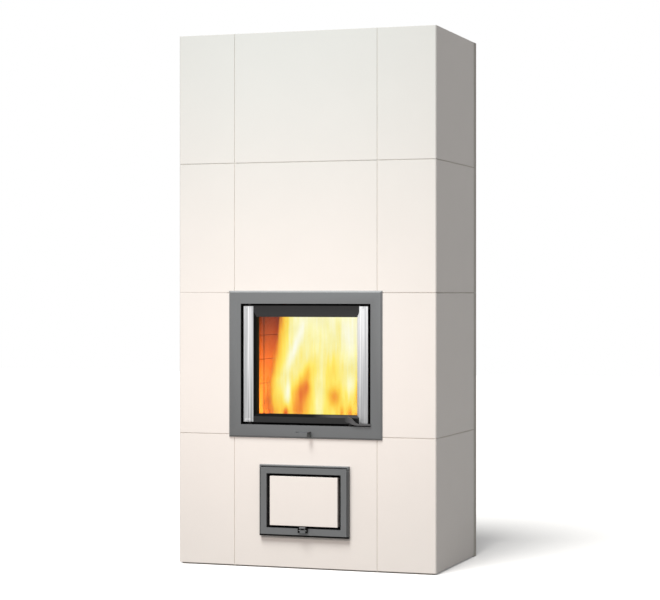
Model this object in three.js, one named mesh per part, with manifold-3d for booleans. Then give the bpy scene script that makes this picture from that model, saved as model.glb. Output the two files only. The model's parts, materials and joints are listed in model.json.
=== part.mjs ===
// Tile-clad heat-retaining stove. Millimetres, +Z up, front towards -Y, origin on the floor under the
// middle of the casing. A refractory core stands inside a casing of tall tiles; the fire door and the
// ash hatch below it are steel assemblies set in the front.

import * as THREE from 'three';
import { mergeVertices } from 'three/addons/utils/BufferGeometryUtils.js';
import Module from 'manifold-3d';

const wasm = await Module();
wasm.setup();

// ---- driving dimensions -------------------------------------------------------------------------

const touch = 0.3;                  // air between two pieces that rest on or against each other
const through = 1;                  // cutting tools reach this far past what they cut
const weldOverlap = 0.1;            // joined parts of one piece reach into each other
const wideSegments = 48;            // sides of a faceted flue circle
const pinSegments = 24;
const thinPinSegments = 16;

// Casing
const casingWidth = 840;
const casingDepth = 475;
const casingHeight = 1660;
const hatchCourseHeight = 411;
const doorCourseHeight = 441;
const upperCourses = 2;             // equal courses over the fire door
const doorCourse = 1;               // index of the course that the fire door fills
const tileThickness = 45;
const centreTileWidth = 466.6;      // front centre column, joint middle to joint middle
const cornerBevel = 3;
const backSlabThickness = 30;
const jointWidth = 2.4;
const jointRecess = 1.5;            // mortar stays this far behind the tile faces
const levellingBed = 4;             // raises the first course off the floor
const levellingRecess = 8;
const coverThickness = 46;
const coverRecess = 3;              // cover slab below the top edge of the casing
const insulationThickness = 55;

// Core
const baseSlabThickness = 60;
const coreWall = 60;
const ashWallGap = 7;               // hatch tube to the ash walls
const fireboxSideGap = 1.5;         // door sleeve to firebox wall, on the latch side
const fireboxFloorThickness = 65;
const floorRise = 7;                // firebox floor above the door frame's inner edge
const lintelRise = 12;
const lintelHeight = 70;
const wallBrickDepth = 175;         // front brick of each firebox side wall
const throatSlabThickness = 50;
const throatWidth = 300;
const throatDepth = 110;
const capSlabThickness = 65;
const sideExitHeight = 80;          // gap over the upper side walls, into the down channels
const collectorDepth = 88;          // flue collector behind the ash chamber
const flueRadius = 75;
const flueWall = 5;
const flueCentreHeight = 215;
const flueFlangeWidth = 14;
const flueFlangeThickness = 4;

// Grate
const grateWidth = 214;
const grateDepth = 164;
const grateThickness = 18;
const grateLedge = 12;
const grateSlotWidth = 9;
const grateBarWidth = 9;
const grateRim = 16;

// Fire door frame
const frameOverlapSide = 16.7;      // over the casing, each side
const frameOverlapTop = 6;
const frameOverlapBottom = 8;
const frameRail = 40;
const frameProud = 6.5;
const frameBevel = 5;
const frameBevelDepth = 3.5;
const frameSleeveWall = 5;
const framePlate = 3;               // seal ledge and rear bearing plate
const rearPlateGap = 2;             // rear plate to the edges of the casing opening

// Fire door leaf
const leafGap = 6;
const latchGapExtra = 3.5;          // the gap is wider on the latch side
const leafFaceDepth = 8.5;          // leaf face behind the tile face
const leafThickness = 30;
const leafTopRail = 35;
const leafBottomRail = 26.5;
const leafStile = 39;
const leafChamfer = 8;              // round the glass opening, on the leaf's face
const leafTopChamfer = 16;
const leafChamferDepth = 5;
const glassThickness = 4;
const glassOverlap = 7;
const paneClearance = 1;            // round the pane in its rebate
const glassGasketThickness = 2;
const retainerThickness = 3;
const doorSealThickness = 6.2;
const doorSealWidth = 8;
const doorSealInset = 20;           // leaf edge to the seal's outer side
const sealLandInset = 32;           // leaf edge to the frame's seal ledge opening
const doorSealBottomInset = 9;
const sealLandBottomInset = 19;
const doorSealTopInset = 14;
const sealLandTopInset = 24;
const hingeInset = 16;              // hinge axis from the leaf's edge
const hingeDepth = 5;               // hinge axis behind the leaf's face
const hingePinRadius = 3;
const hingeCollarRadius = 6;
const hingePinReach = 15;           // into the leaf
const pinClearance = 0.3;
const stripWidth = 30.8;
const stripRise = 8.2;              // outer edge above the leaf's face
const stripInnerRise = 2;
const stripEndGap = 1.5;
const stripLip = 5;                 // flat band along each edge
const stripLipRise = 0.8;           // bands over the canted middle
const stripCapHeight = 8;
const stripNose = 1;

// Latch lever, on the door leaf
const leverPivotInset = 63;         // from the leaf's right edge
const leverPivotRise = 14;          // above the leaf's bottom edge
const leverHubRadius = 8;
const leverThickness = 5;
const leverStandOff = 1;            // in front of the door frame
const leverArmWidth = 5;
const leverReach = 72;
const leverDrop = 14;
const leverBend = 38;               // hub centre to the end of the arm's bend
const leverBendEase = 18;
const leverTopHold = 22;            // how far the bend's top edge keeps to the hub's level
const leverUnderHold = 12;
const leverUnderInset = 6;          // the bend's lower edge ends nearer the hub
const leverShaftRadius = 4;
const leverShaftHead = 1;           // shaft's end under the lever's face
const latchSlotDepth = 17;          // cam slot behind the leaf's face
const latchCamThickness = 6;
const latchCamWidth = 9;
const latchCamTipGap = 1.2;         // cam tip over the frame
const latchCamRoom = 1;             // round the cam in its slot

// Air slider, in the door frame's bottom rail
const sliderTravel = 42;
const sliderRestX = 18;
const sliderNeckWidth = 6;
const sliderNeckHeight = 2.2;
const sliderSlotCentre = 19;        // above the frame's bottom edge
const sliderSlotClearance = 0.3;
const sliderPlateHeight = 15;
const sliderPlateOverlap = 26;      // plate past the slot's ends
const sliderPlateThickness = 2.5;
const sliderKnobReach = 8;          // knob's back in front of the frame
const sliderKnobThickness = 5;
const sliderKnobTop = 8;
const sliderKnobBottom = 13;
const sliderKnobDrop = 16;
const sliderRibHeight = 2;
const sliderRibDepth = 5;

// Ash hatch frame
const hatchWidth = 291;
const hatchBottomMargin = 100;      // floor to the hatch
const hatchTopMargin = 90.5;        // hatch to the top of the first course
const hatchRimWidth = 4.7;
const hatchRimProud = 13.5;
const hatchRimBevel = 1.5;
const hatchLedgeWidth = 12;         // seal ledge inside the rim
const hatchLedgeTopWidth = 18.3;
const hatchLedgeThickness = 3;
const hatchTubeWall = 4;

// Ash hatch leaf
const hatchSideGap = 0.8;
const hatchTopGap = 3.4;
const hatchLeafProud = 16;
const hatchPlateThickness = 8.5;
const hatchRail = 19;
const hatchBottomRail = 20.6;
const hatchTopRail = 18.8;
const hatchTrayDepth = 24;          // face to the back of the tray
const hatchTrayWall = 3;
const hatchTileGapSide = 10.4;
const hatchTileGapTop = 8.3;
const hatchTileGapBottom = 6.9;
const hatchTileRecess = 0.5;
const hatchAxisDrop = 6;            // hinge axis under the leaf's top edge
const hatchAxisDepth = 5.5;         // hinge axis behind the leaf's face
const hatchPinRadius = 1.6;
const hatchPinReach = 12;
const hatchPinInset = 0.5;          // pin's outer end under the frame's side
const hatchSealWidth = 4;
const hatchSealInset = 1.5;         // seal's inner side to the clear opening

// Catch, on the hatch leaf
const catchWidth = 30;
const catchEar = 2.2;
const catchBase = 2;
const catchEarDepth = 10;
const catchHeight = 14;
const catchRise = 8;                // bracket above the leaf's bottom edge
const catchPinInset = 3;            // pivot behind the ears' front
const catchPlateThickness = 3;
const catchPlateHeight = 18;
const catchPlateSideGap = 4.2;
const catchLipWidth = 19;
const catchLipDepth = 4;
const catchLipHeight = 4;
const catchWindowWidth = 12.5;      // opening in the plate, under the lip
const catchWindowHeight = 5;
const catchPinRadius = 1.5;

// Ash pan
const panSideClearance = 8;
const panDepthClearance = 12;
const panHeight = 80;
const panWall = 2;
const panGripWidth = 70;
const panGripReach = 14;
const panGripHeight = 18;
const panFrontRoom = 26;            // behind the hatch tray

// ---- materials ----------------------------------------------------------------------------------

function finish(color, roughness, metalness) {
  return new THREE.MeshStandardMaterial({ color, roughness, metalness });
}

const glazedTile = finish(0xf2eadf, 0.45, 0);
const mortar = finish(0xb9aea0, 0.95, 0);
const backRender = finish(0xd9d5cd, 0.9, 0);
const refractory = finish(0xc4a58b, 0.95, 0);
const fireBrick = finish(0x9a5a3a, 0.95, 0);
const insulation = finish(0xe6dfd0, 0.98, 0);
const castIron = finish(0x2b2b2c, 0.7, 0.4);
const framePaint = finish(0x7f8180, 0.5, 0.3);
const leafPaint = finish(0x363638, 0.5, 0.4);
const brushedSteel = finish(0xc4c5c6, 0.35, 1);
const galvanised = finish(0x8c8f92, 0.5, 0.9);
const sealRope = finish(0x3a3835, 1, 0);
const clearGlass = finish(0xdfe6e4, 0.05, 0);

// ---- geometry helpers ---------------------------------------------------------------------------

const centred = (half) => [-half, half];
const grow = (span, by) => [span[0] - by, span[1] + by];
const size = (span) => span[1] - span[0];
const middle = (span) => (span[0] + span[1]) / 2;

function boxGeometry(x, y, z) {
  const geometry = new THREE.BoxGeometry(size(x), size(y), size(z));
  return geometry.translate(middle(x), middle(y), middle(z));
}

function rectangle(x, y) {
  const shape = new THREE.Shape();
  shape.moveTo(x[0], y[0]);
  shape.lineTo(x[1], y[0]);
  shape.lineTo(x[1], y[1]);
  shape.lineTo(x[0], y[1]);
  shape.closePath();
  return shape;
}

function outline(points) {
  return new THREE.Shape(points.map(([a, b]) => new THREE.Vector2(a, b)));
}

// A shape drawn in plan (X, Y), extruded upwards from z[0] to z[1].
function planExtrude(shape, z) {
  const geometry = new THREE.ExtrudeGeometry(shape, { depth: size(z), bevelEnabled: false });
  return geometry.translate(0, 0, z[0]);
}

// A shape drawn in front view (X, Z), extruded from y[0] back to y[1].
function frontExtrude(shape, y) {
  const geometry = new THREE.ExtrudeGeometry(shape, { depth: size(y), bevelEnabled: false });
  return geometry.rotateX(Math.PI / 2).translate(0, y[1], 0);
}

function cylinderAlong(axis, radius, span, at, segments = pinSegments) {
  const geometry = new THREE.CylinderGeometry(radius, radius, size(span), segments);
  if (axis === 'z') {
    return geometry.rotateX(Math.PI / 2).translate(at[0], at[1], middle(span));
  }
  if (axis === 'x') {
    return geometry.rotateZ(Math.PI / 2).translate(middle(span), at[0], at[1]);
  }
  return geometry.translate(at[0], middle(span), at[1]);
}

// A block whose front rectangle (at y[0]) tapers to another rectangle at its back.
function taperedBlock(frontX, frontZ, backX, backZ, y) {
  const ring = (x, z, depth) => [
    x[0], depth, z[0],
    x[1], depth, z[0],
    x[1], depth, z[1],
    x[0], depth, z[1],
  ];
  const corners = [...ring(frontX, frontZ, y[0]), ...ring(backX, backZ, y[1])];
  const faces = [0, 1, 2, 0, 2, 3, 4, 6, 5, 4, 7, 6];
  for (let k = 0; k < 4; k += 1) {
    const next = (k + 1) % 4;
    faces.push(k, k + 4, next + 4, k, next + 4, next);
  }
  const geometry = new THREE.BufferGeometry();
  geometry.setAttribute('position', new THREE.Float32BufferAttribute(corners, 3));
  geometry.setIndex(faces);
  return geometry;
}

function solidOf(geometry) {
  const bare = geometry.clone();
  bare.deleteAttribute('normal');
  bare.deleteAttribute('uv');
  const merged = mergeVertices(bare, 1e-4);
  return new wasm.Manifold(new wasm.Mesh({
    numProp: 3,
    vertProperties: new Float32Array(merged.attributes.position.array),
    triVerts: new Uint32Array(merged.index.array),
  }));
}

function geometryOf(solid) {
  const mesh = solid.getMesh();
  const geometry = new THREE.BufferGeometry();
  geometry.setAttribute('position', new THREE.BufferAttribute(mesh.vertProperties, 3));
  geometry.setIndex(new THREE.BufferAttribute(mesh.triVerts, 1));
  geometry.computeVertexNormals();
  return geometry;
}

// Joins the first list of geometries and cuts the second list out of the result.
function combine(joined, cut = []) {
  let solid = solidOf(joined[0]);
  for (const geometry of joined.slice(1)) {
    solid = solid.add(solidOf(geometry));
  }
  for (const geometry of cut) {
    solid = solid.subtract(solidOf(geometry));
  }
  return geometryOf(solid);
}

function addPiece(group, name, material, geometry) {
  const mesh = new THREE.Mesh(geometry, material);
  mesh.name = name;
  group.add(mesh);
  return mesh;
}

function addBlock(group, name, material, x, y, z) {
  const mesh = addPiece(group, name, material, new THREE.BoxGeometry(size(x), size(y), size(z)));
  mesh.position.set(middle(x), middle(y), middle(z));
  return mesh;
}

// A rectangular ring in front view: outer spans, inner spans, and its depth.
function frameRing(outerX, outerZ, innerX, innerZ, y) {
  const shape = rectangle(outerX, outerZ);
  shape.holes.push(rectangle(innerX, innerZ));
  // frontExtrude turns the drawing's second axis to +Z
  return frontExtrude(shape, y);
}

// ---- places worked out from the driving dimensions ----------------------------------------------

const frontY = -casingDepth / 2;
const backY = casingDepth / 2;
const halfWidth = casingWidth / 2;
const upperCourseHeight = (casingHeight - hatchCourseHeight - doorCourseHeight) / upperCourses;
const courseHeights = [hatchCourseHeight, doorCourseHeight];
for (let i = 0; i < upperCourses; i += 1) {
  courseHeights.push(upperCourseHeight);
}
const courseBase = courseHeights.map((_, i) => courseHeights.slice(0, i).reduce((a, b) => a + b, 0));
const innerHalfWidth = halfWidth - tileThickness;
const innerFrontY = frontY + tileThickness;
const innerBackY = backY - backSlabThickness;
const halfCentre = centreTileWidth / 2;
const halfJoint = jointWidth / 2;

// Fire door, in a frame of its own: X as the stove's, Y = 0 on the tile face, Z = 0 at the frame's bottom
const doorBottomZ = courseBase[doorCourse] - frameOverlapBottom;
const doorFrameX = centred(halfCentre + frameOverlapSide);
const doorFrameZ = [0, courseHeights[doorCourse] + frameOverlapBottom + frameOverlapTop];
const doorHoleX = [doorFrameX[0] + frameRail, doorFrameX[1] - frameRail + latchGapExtra];
const doorHoleZ = grow(doorFrameZ, -frameRail);
const leafX = [doorHoleX[0] + leafGap, doorHoleX[1] - leafGap - latchGapExtra];
const leafZ = grow(doorHoleZ, -leafGap);
const leafY = [leafFaceDepth, leafFaceDepth + leafThickness];
const leafHoleX = grow(leafX, -leafStile);
const leafHoleZ = [leafZ[0] + leafBottomRail, leafZ[1] - leafTopRail];
const sealLedgeFront = leafY[1] + doorSealThickness + 2 * touch;
const sealLedgeY = [sealLedgeFront, sealLedgeFront + framePlate];
const sealLandX = grow(leafX, -sealLandInset);
const sealLandZ = [leafZ[0] + sealLandBottomInset, leafZ[1] - sealLandTopInset];
const coreFrontDepth = Math.max(tileThickness, sealLedgeY[1]) + touch;
const rearPlateY = [coreFrontDepth - touch - framePlate, coreFrontDepth - touch];
const doorAxis = [leafX[0] + hingeInset, leafY[0] + hingeDepth];

// Ash hatch, in a frame of its own: Y = 0 on the tile face, Z = 0 at the hatch frame's bottom
const hatchHeight = courseHeights[0] - hatchBottomMargin - hatchTopMargin;
const hatchFrameX = centred(hatchWidth / 2);
const hatchFrameZ = [0, hatchHeight];
const hatchRimX = grow(hatchFrameX, -hatchRimWidth);
const hatchRimZ = grow(hatchFrameZ, -hatchRimWidth);
const hatchLedgeY = [-hatchLedgeThickness, 0].map((y) => y - touch);
const hatchClearX = grow(hatchRimX, -hatchLedgeWidth);
const hatchClearZ = [hatchRimZ[0] + hatchLedgeWidth, hatchRimZ[1] - hatchLedgeTopWidth];
const hatchTubeX = grow(hatchClearX, hatchTubeWall);
const hatchTubeZ = grow(hatchClearZ, hatchTubeWall);
const hatchLeafX = grow(hatchRimX, -hatchSideGap);
const hatchLeafZ = [hatchRimZ[0] + hatchSideGap, hatchRimZ[1] - hatchTopGap];
const hatchPocketX = grow(hatchLeafX, -hatchRail);
const hatchPocketZ = [hatchLeafZ[0] + hatchBottomRail, hatchLeafZ[1] - hatchTopRail];

// Core levels and plan
const coreFrontY = frontY + coreFrontDepth;
const coreBackY = innerBackY - touch;
const fireboxHalf = doorHoleX[1] + frameSleeveWall + fireboxSideGap;
const coreHalf = fireboxHalf + coreWall;
const floorTopZ = doorBottomZ + doorHoleZ[0] + floorRise;
const floorBottomZ = floorTopZ - fireboxFloorThickness;
const lintelBottomZ = doorBottomZ + doorHoleZ[1] + lintelRise;
const lintelTopZ = lintelBottomZ + lintelHeight;
const throatBottomZ = lintelTopZ + touch;
const throatTopZ = throatBottomZ + throatSlabThickness;
const coverTopZ = casingHeight - coverRecess;
const coverBottomZ = coverTopZ - coverThickness;
const insulationBottomZ = coverBottomZ - touch - insulationThickness;
const capBottomZ = insulationBottomZ - touch - capSlabThickness;
const fireboxBackY = coreBackY - coreWall;
const brickJointY = coreFrontY + wallBrickDepth;
const ashHalf = hatchClearX[1] + hatchTubeWall + ashWallGap;
const ashFloorZ = hatchBottomMargin + hatchClearZ[0];
const ashBackY = coreBackY - collectorDepth - coreWall;

const stove = new THREE.Group();

// ---- casing -------------------------------------------------------------------------------------

const casing = new THREE.Group();
stove.add(casing);

const tileSpanZ = courseBase.map((base, i) => [
  i === 0 ? levellingBed : base + halfJoint,
  i === courseHeights.length - 1 ? casingHeight : base + courseHeights[i] - halfJoint,
]);

// Plan of an L-shaped corner element; side is -1 at the left and 1 at the right.
function cornerPlan(side) {
  const frontEnd = halfCentre + halfJoint;
  return outline([
    [side * frontEnd, frontY],
    [side * (halfWidth - cornerBevel), frontY],
    [side * halfWidth, frontY + cornerBevel],
    [side * halfWidth, innerBackY - touch],
    [side * innerHalfWidth, innerBackY - touch],
    [side * innerHalfWidth, innerFrontY],
    [side * frontEnd, innerFrontY],
  ]);
}

tileSpanZ.forEach((z, i) => {
  addPiece(casing, `casing_corner_left_${i + 1}`, glazedTile, planExtrude(cornerPlan(-1), z));
  addPiece(casing, `casing_corner_right_${i + 1}`, glazedTile, planExtrude(cornerPlan(1), z));
  const x = centred(halfCentre - halfJoint);
  const y = [frontY, innerFrontY];
  if (i === 0) {
    const holeX = grow(hatchTubeX, touch);
    const holeZ = grow(hatchTubeZ, touch).map((value) => value + hatchBottomMargin);
    addPiece(casing, 'casing_front_1', glazedTile, frameRing(x, z, holeX, holeZ, y));
  } else if (i !== doorCourse) {
    addBlock(casing, `casing_front_${i + 1}`, glazedTile, x, y, z);
  }
});

// Mortar: a bed under each course, and a strip in each vertical joint of the front.
tileSpanZ.forEach((z, i) => {
  const recess = i === 0 ? levellingRecess : jointRecess;
  const bedBottom = i === 0 ? 0 : courseBase[i] - halfJoint + touch;
  const bedZ = [bedBottom, z[0] - touch];
  const outerX = halfWidth - recess;
  const outerY = frontY + recess;
  const bed = outline([
    [-outerX, innerBackY - touch],
    [-outerX, outerY],
    [outerX, outerY],
    [outerX, innerBackY - touch],
    [innerHalfWidth, innerBackY - touch],
    [innerHalfWidth, innerFrontY],
    [-innerHalfWidth, innerFrontY],
    [-innerHalfWidth, innerBackY - touch],
  ]);
  const pieces = [planExtrude(bed, bedZ)];
  if (i !== doorCourse) {
    for (const side of [-1, 1]) {
      const x = grow([side * halfCentre, side * halfCentre], halfJoint - touch);
      pieces.push(boxGeometry(x, [frontY + jointRecess, innerFrontY], [bedZ[0], z[1] - touch]));
    }
  }
  addPiece(casing, `mortar_bed_${i + 1}`, mortar, combine(pieces));
});

// Back: two plain slabs, the lower one with the flue hole.
const backSplitZ = courseBase[doorCourse + 1];
const backX = centred(halfWidth);
const backSpanY = [innerBackY, backY];
addPiece(casing, 'back_slab_lower', backRender, combine(
  [boxGeometry(backX, backSpanY, [0, backSplitZ - touch])],
  [cylinderAlong('y', flueRadius + touch, grow(backSpanY, through), [0, flueCentreHeight], wideSegments)],
));
addBlock(casing, 'back_slab_upper', backRender, backX, backSpanY, [backSplitZ, casingHeight]);

const innerX = centred(innerHalfWidth - touch);
const innerY = [innerFrontY + touch, innerBackY - touch];
addBlock(casing, 'cover_slab', glazedTile, innerX, innerY, [coverBottomZ, coverTopZ]);
addBlock(casing, 'insulation_board', insulation, innerX, innerY,
  [insulationBottomZ, insulationBottomZ + insulationThickness]);

// ---- core ---------------------------------------------------------------------------------------

const core = new THREE.Group();
stove.add(core);

// Base slab, raised between the ash walls to the level of the hatch's sill.
addPiece(core, 'base_slab', refractory, combine([
  boxGeometry(innerX, innerY, [0, baseSlabThickness]),
  boxGeometry(centred(ashHalf - touch), [coreFrontY, ashBackY - touch], [0, ashFloorZ - touch]),
]));

const ashWallZ = [baseSlabThickness + touch, floorBottomZ - touch];
const ashWallY = [coreFrontY, ashBackY + coreWall];
addBlock(core, 'ash_wall_left', refractory, [-ashHalf - coreWall, -ashHalf], ashWallY, ashWallZ);
addBlock(core, 'ash_wall_right', refractory, [ashHalf, ashHalf + coreWall], ashWallY, ashWallZ);
addBlock(core, 'ash_wall_back', refractory, centred(ashHalf - touch), [ashBackY, ashBackY + coreWall],
  ashWallZ);

// Firebox floor with a rebated grate opening.
const grateCentreY = (coreFrontY + fireboxBackY) / 2;
const grateX = centred(grateWidth / 2);
const grateY = [grateCentreY - grateDepth / 2, grateCentreY + grateDepth / 2];
const grateZ = [floorTopZ - grateThickness, floorTopZ];
const coreX = centred(coreHalf);
const coreY = [coreFrontY, coreBackY];
addPiece(core, 'firebox_floor', fireBrick, combine(
  [boxGeometry(coreX, coreY, [floorBottomZ, floorTopZ])],
  [
    boxGeometry(grow(grateX, touch), grow(grateY, touch), [grateZ[0] - touch, floorTopZ + through]),
    boxGeometry(grow(grateX, -grateLedge), grow(grateY, -grateLedge), [floorBottomZ - through, floorTopZ]),
  ],
));

function grateSlots() {
  const slots = [];
  const run = size(grateX) - 2 * grateRim;
  const count = Math.floor((run + grateBarWidth) / (grateSlotWidth + grateBarWidth));
  const used = count * grateSlotWidth + (count - 1) * grateBarWidth;
  for (let i = 0; i < count; i += 1) {
    const start = -used / 2 + i * (grateSlotWidth + grateBarWidth);
    const slotSpan = [start, start + grateSlotWidth];
    slots.push(boxGeometry(slotSpan, grow(grateY, -grateRim), grow(grateZ, through)));
  }
  return slots;
}

addPiece(core, 'grate', castIron, combine([boxGeometry(grateX, grateY, grateZ)], grateSlots()));

// Firebox walls: two bricks deep at each side, one behind; the lintel lies on the front bricks.
const wallBottomZ = floorTopZ + touch;
for (const [name, side] of [['left', -1], ['right', 1]]) {
  const x = [side * fireboxHalf, side * coreHalf].sort((a, b) => a - b);
  addBlock(core, `firebox_wall_${name}_front`, fireBrick, x, [coreFrontY, brickJointY - touch],
    [wallBottomZ, lintelBottomZ - touch]);
  addBlock(core, `firebox_wall_${name}_rear`, fireBrick, x, [brickJointY, fireboxBackY - touch],
    [wallBottomZ, lintelTopZ]);
}
addBlock(core, 'firebox_wall_back', fireBrick, coreX, [fireboxBackY, coreBackY],
  [wallBottomZ, lintelTopZ]);
addBlock(core, 'door_lintel', fireBrick, coreX, [coreFrontY, brickJointY - touch],
  [lintelBottomZ, lintelTopZ]);

// Throat slab, upper chamber and cap.
const throatY = [fireboxBackY - throatDepth, fireboxBackY];
addPiece(core, 'throat_slab', refractory, combine(
  [boxGeometry(coreX, coreY, [throatBottomZ, throatTopZ])],
  [boxGeometry(centred(throatWidth / 2), throatY, [throatBottomZ - through, throatTopZ + through])],
));
const upperZ = [throatTopZ + touch, capBottomZ - touch];
const upperSideZ = [upperZ[0], upperZ[1] - sideExitHeight];
const upperSideY = [coreFrontY + coreWall + touch, fireboxBackY - touch];
addBlock(core, 'upper_wall_left', refractory, [-coreHalf, -fireboxHalf], upperSideY, upperSideZ);
addBlock(core, 'upper_wall_right', refractory, [fireboxHalf, coreHalf], upperSideY, upperSideZ);
addBlock(core, 'upper_wall_front', refractory, coreX, [coreFrontY, coreFrontY + coreWall], upperZ);
addBlock(core, 'upper_wall_back', refractory, coreX, [fireboxBackY, coreBackY], upperZ);
addBlock(core, 'cap_slab', refractory, coreX, coreY, [capBottomZ, capBottomZ + capSlabThickness]);

// Flue collar: a short tube through the lower back slab with a flange inside.
const collarFlangeY = [innerBackY - touch - flueFlangeThickness, innerBackY - touch];
const collarY = [collarFlangeY[0], backY];
const collarAt = [0, flueCentreHeight];
addPiece(core, 'flue_collar', castIron, combine(
  [
    cylinderAlong('y', flueRadius, collarY, collarAt, wideSegments),
    cylinderAlong('y', flueRadius + flueFlangeWidth, collarFlangeY, collarAt, wideSegments),
  ],
  [cylinderAlong('y', flueRadius - flueWall, grow(collarY, through), collarAt, wideSegments)],
));

// ---- fire door frame and its fixed pieces -------------------------------------------------------

const fireDoor = new THREE.Group();
fireDoor.position.set(0, frontY, doorBottomZ);
stove.add(fireDoor);

const flangeY = [-frameProud, -touch];
const openThrough = [-frameProud - through, sealLedgeY[1] + rearPlateY[1]];

// Flange with a bevel round its front edge: a bevelled extrusion with the back half cut away.
function bevelledFlange(x, z, y, bevel, bevelDepth) {
  const shape = rectangle(grow(x, -bevel), grow(z, -bevel));
  const depth = 2 * (size(y) - bevelDepth);
  const extrusion = new THREE.ExtrudeGeometry(shape, {
    depth, bevelEnabled: true, bevelSize: bevel, bevelThickness: bevelDepth, bevelSegments: 1,
  });
  extrusion.rotateX(Math.PI / 2).translate(0, y[0] + bevelDepth + depth, 0);
  const keep = boxGeometry(grow(x, through), [y[0] - through, y[1]], grow(z, through));
  return geometryOf(solidOf(extrusion).intersect(solidOf(keep)));
}

const slotZ = grow([sliderSlotCentre, sliderSlotCentre], sliderNeckHeight / 2 + sliderSlotClearance);
const slotX = [
  sliderRestX - sliderTravel - sliderNeckWidth / 2 - sliderSlotClearance,
  sliderRestX + sliderNeckWidth / 2 + sliderSlotClearance,
];
const sliderPlateX = [
  slotX[0] - sliderPlateOverlap + sliderTravel / 2,
  slotX[1] + sliderPlateOverlap + sliderTravel / 2,
];
const sliderPlateZ = grow([sliderSlotCentre, sliderSlotCentre], sliderPlateHeight / 2);
const ribX = [sliderPlateX[0] - sliderTravel, sliderPlateX[1]];
const ribY = [-touch - weldOverlap, sliderRibDepth];
const sleeveY = [-touch - weldOverlap, rearPlateY[1]];

const latchAt = [leafX[1] - leverPivotInset, leafZ[0] + leverPivotRise];

addPiece(fireDoor, 'door_frame', framePaint, combine(
  [
    bevelledFlange(doorFrameX, doorFrameZ, flangeY, frameBevel, frameBevelDepth),
    boxGeometry(grow(doorHoleX, frameSleeveWall), sleeveY, grow(doorHoleZ, frameSleeveWall)),
    boxGeometry(centred(halfCentre - rearPlateGap), rearPlateY, [
      frameOverlapBottom + rearPlateGap, doorFrameZ[1] - frameOverlapTop - rearPlateGap,
    ]),
    boxGeometry(ribX, ribY, [sliderPlateZ[1] + touch, sliderPlateZ[1] + touch + sliderRibHeight]),
    boxGeometry(ribX, ribY, [sliderPlateZ[0] - touch - sliderRibHeight, sliderPlateZ[0] - touch]),
  ],
  [
    boxGeometry(doorHoleX, [openThrough[0], sealLedgeY[0]], doorHoleZ),
    boxGeometry(sealLandX, openThrough, sealLandZ),
    boxGeometry(slotX, grow(flangeY, through), slotZ),
    cylinderAlong('z', hingePinRadius + pinClearance, [0, doorFrameZ[1]], doorAxis),
  ],
));

// Hinge pins: the lower one has a collar that carries the leaf.
function hingePin(fixedEnd, leafFace, direction) {
  const collarNear = leafFace - direction * touch;
  const collarFar = fixedEnd + direction * (frameSleeveWall + touch);
  const tip = leafFace + direction * hingePinReach;
  const pin = [fixedEnd, tip].sort((a, b) => a - b);
  const collar = [collarFar, collarNear].sort((a, b) => a - b);
  return combine([
    cylinderAlong('z', hingePinRadius, pin, doorAxis),
    cylinderAlong('z', hingeCollarRadius, collar, doorAxis),
  ]);
}

addPiece(fireDoor, 'hinge_pin_lower', galvanised,
  hingePin(doorHoleZ[0] - frameSleeveWall, leafZ[0], 1));
addPiece(fireDoor, 'hinge_pin_upper', galvanised,
  hingePin(doorHoleZ[1] + frameSleeveWall, leafZ[1], -1));

// Air slider: a plate behind the flange, a neck through the slot and a small lever in front.
const knobY = [-frameProud - sliderKnobReach - sliderKnobThickness, -frameProud - sliderKnobReach];
const knobTopZ = slotZ[1] - sliderSlotClearance;
const knob = outline([
  [sliderRestX - sliderKnobTop / 2, knobTopZ],
  [sliderRestX - sliderKnobBottom / 2, knobTopZ - sliderKnobDrop],
  [sliderRestX + sliderKnobBottom / 2, knobTopZ - sliderKnobDrop],
  [sliderRestX + sliderKnobTop / 2, knobTopZ],
]);
addPiece(fireDoor, 'air_slider', castIron, combine([
  boxGeometry(sliderPlateX, [0, sliderPlateThickness], sliderPlateZ),
  boxGeometry(
    grow([sliderRestX, sliderRestX], sliderNeckWidth / 2),
    [knobY[0], sliderPlateThickness],
    grow([sliderSlotCentre, sliderSlotCentre], sliderNeckHeight / 2),
  ),
  frontExtrude(knob, knobY),
]));

// ---- fire door leaf -----------------------------------------------------------------------------

const rebateX = grow(leafHoleX, glassOverlap + paneClearance);
const rebateZ = grow(leafHoleZ, glassOverlap + paneClearance);
const rebateDepth = glassGasketThickness + glassThickness + retainerThickness + 3 * touch;
const rebateY = [leafY[1] - rebateDepth, leafY[1]];
const gasketY = [rebateY[0] + touch, rebateY[0] + touch + glassGasketThickness];
const glassY = [gasketY[1] + touch, gasketY[1] + touch + glassThickness];
const retainerY = [glassY[1] + touch, leafY[1]];
const paneX = grow(leafHoleX, glassOverlap);
const paneZ = grow(leafHoleZ, glassOverlap);

const camY = [latchSlotDepth, latchSlotDepth + latchCamThickness];
const camReach = latchAt[1] - doorHoleZ[0] - latchCamTipGap;
const camCorner = Math.hypot(latchCamWidth / 2, latchCamWidth / 2) + latchCamRoom;
const camSlotX = [
  latchAt[0] - camCorner,
  latchAt[0] + Math.hypot(camReach, latchCamWidth / 2) + latchCamRoom,
];
const camSlotTopZ = latchAt[1] + camCorner;

// The chamfer's cutter starts in front of the leaf's face, so it is wider there by the same slope.
const chamferRun = (leafChamferDepth + through) / leafChamferDepth;
const chamferX = grow(leafHoleX, leafChamfer * chamferRun);
const chamferZ = [
  leafHoleZ[0] - leafChamfer * chamferRun,
  leafHoleZ[1] + leafTopChamfer * chamferRun,
];

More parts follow.
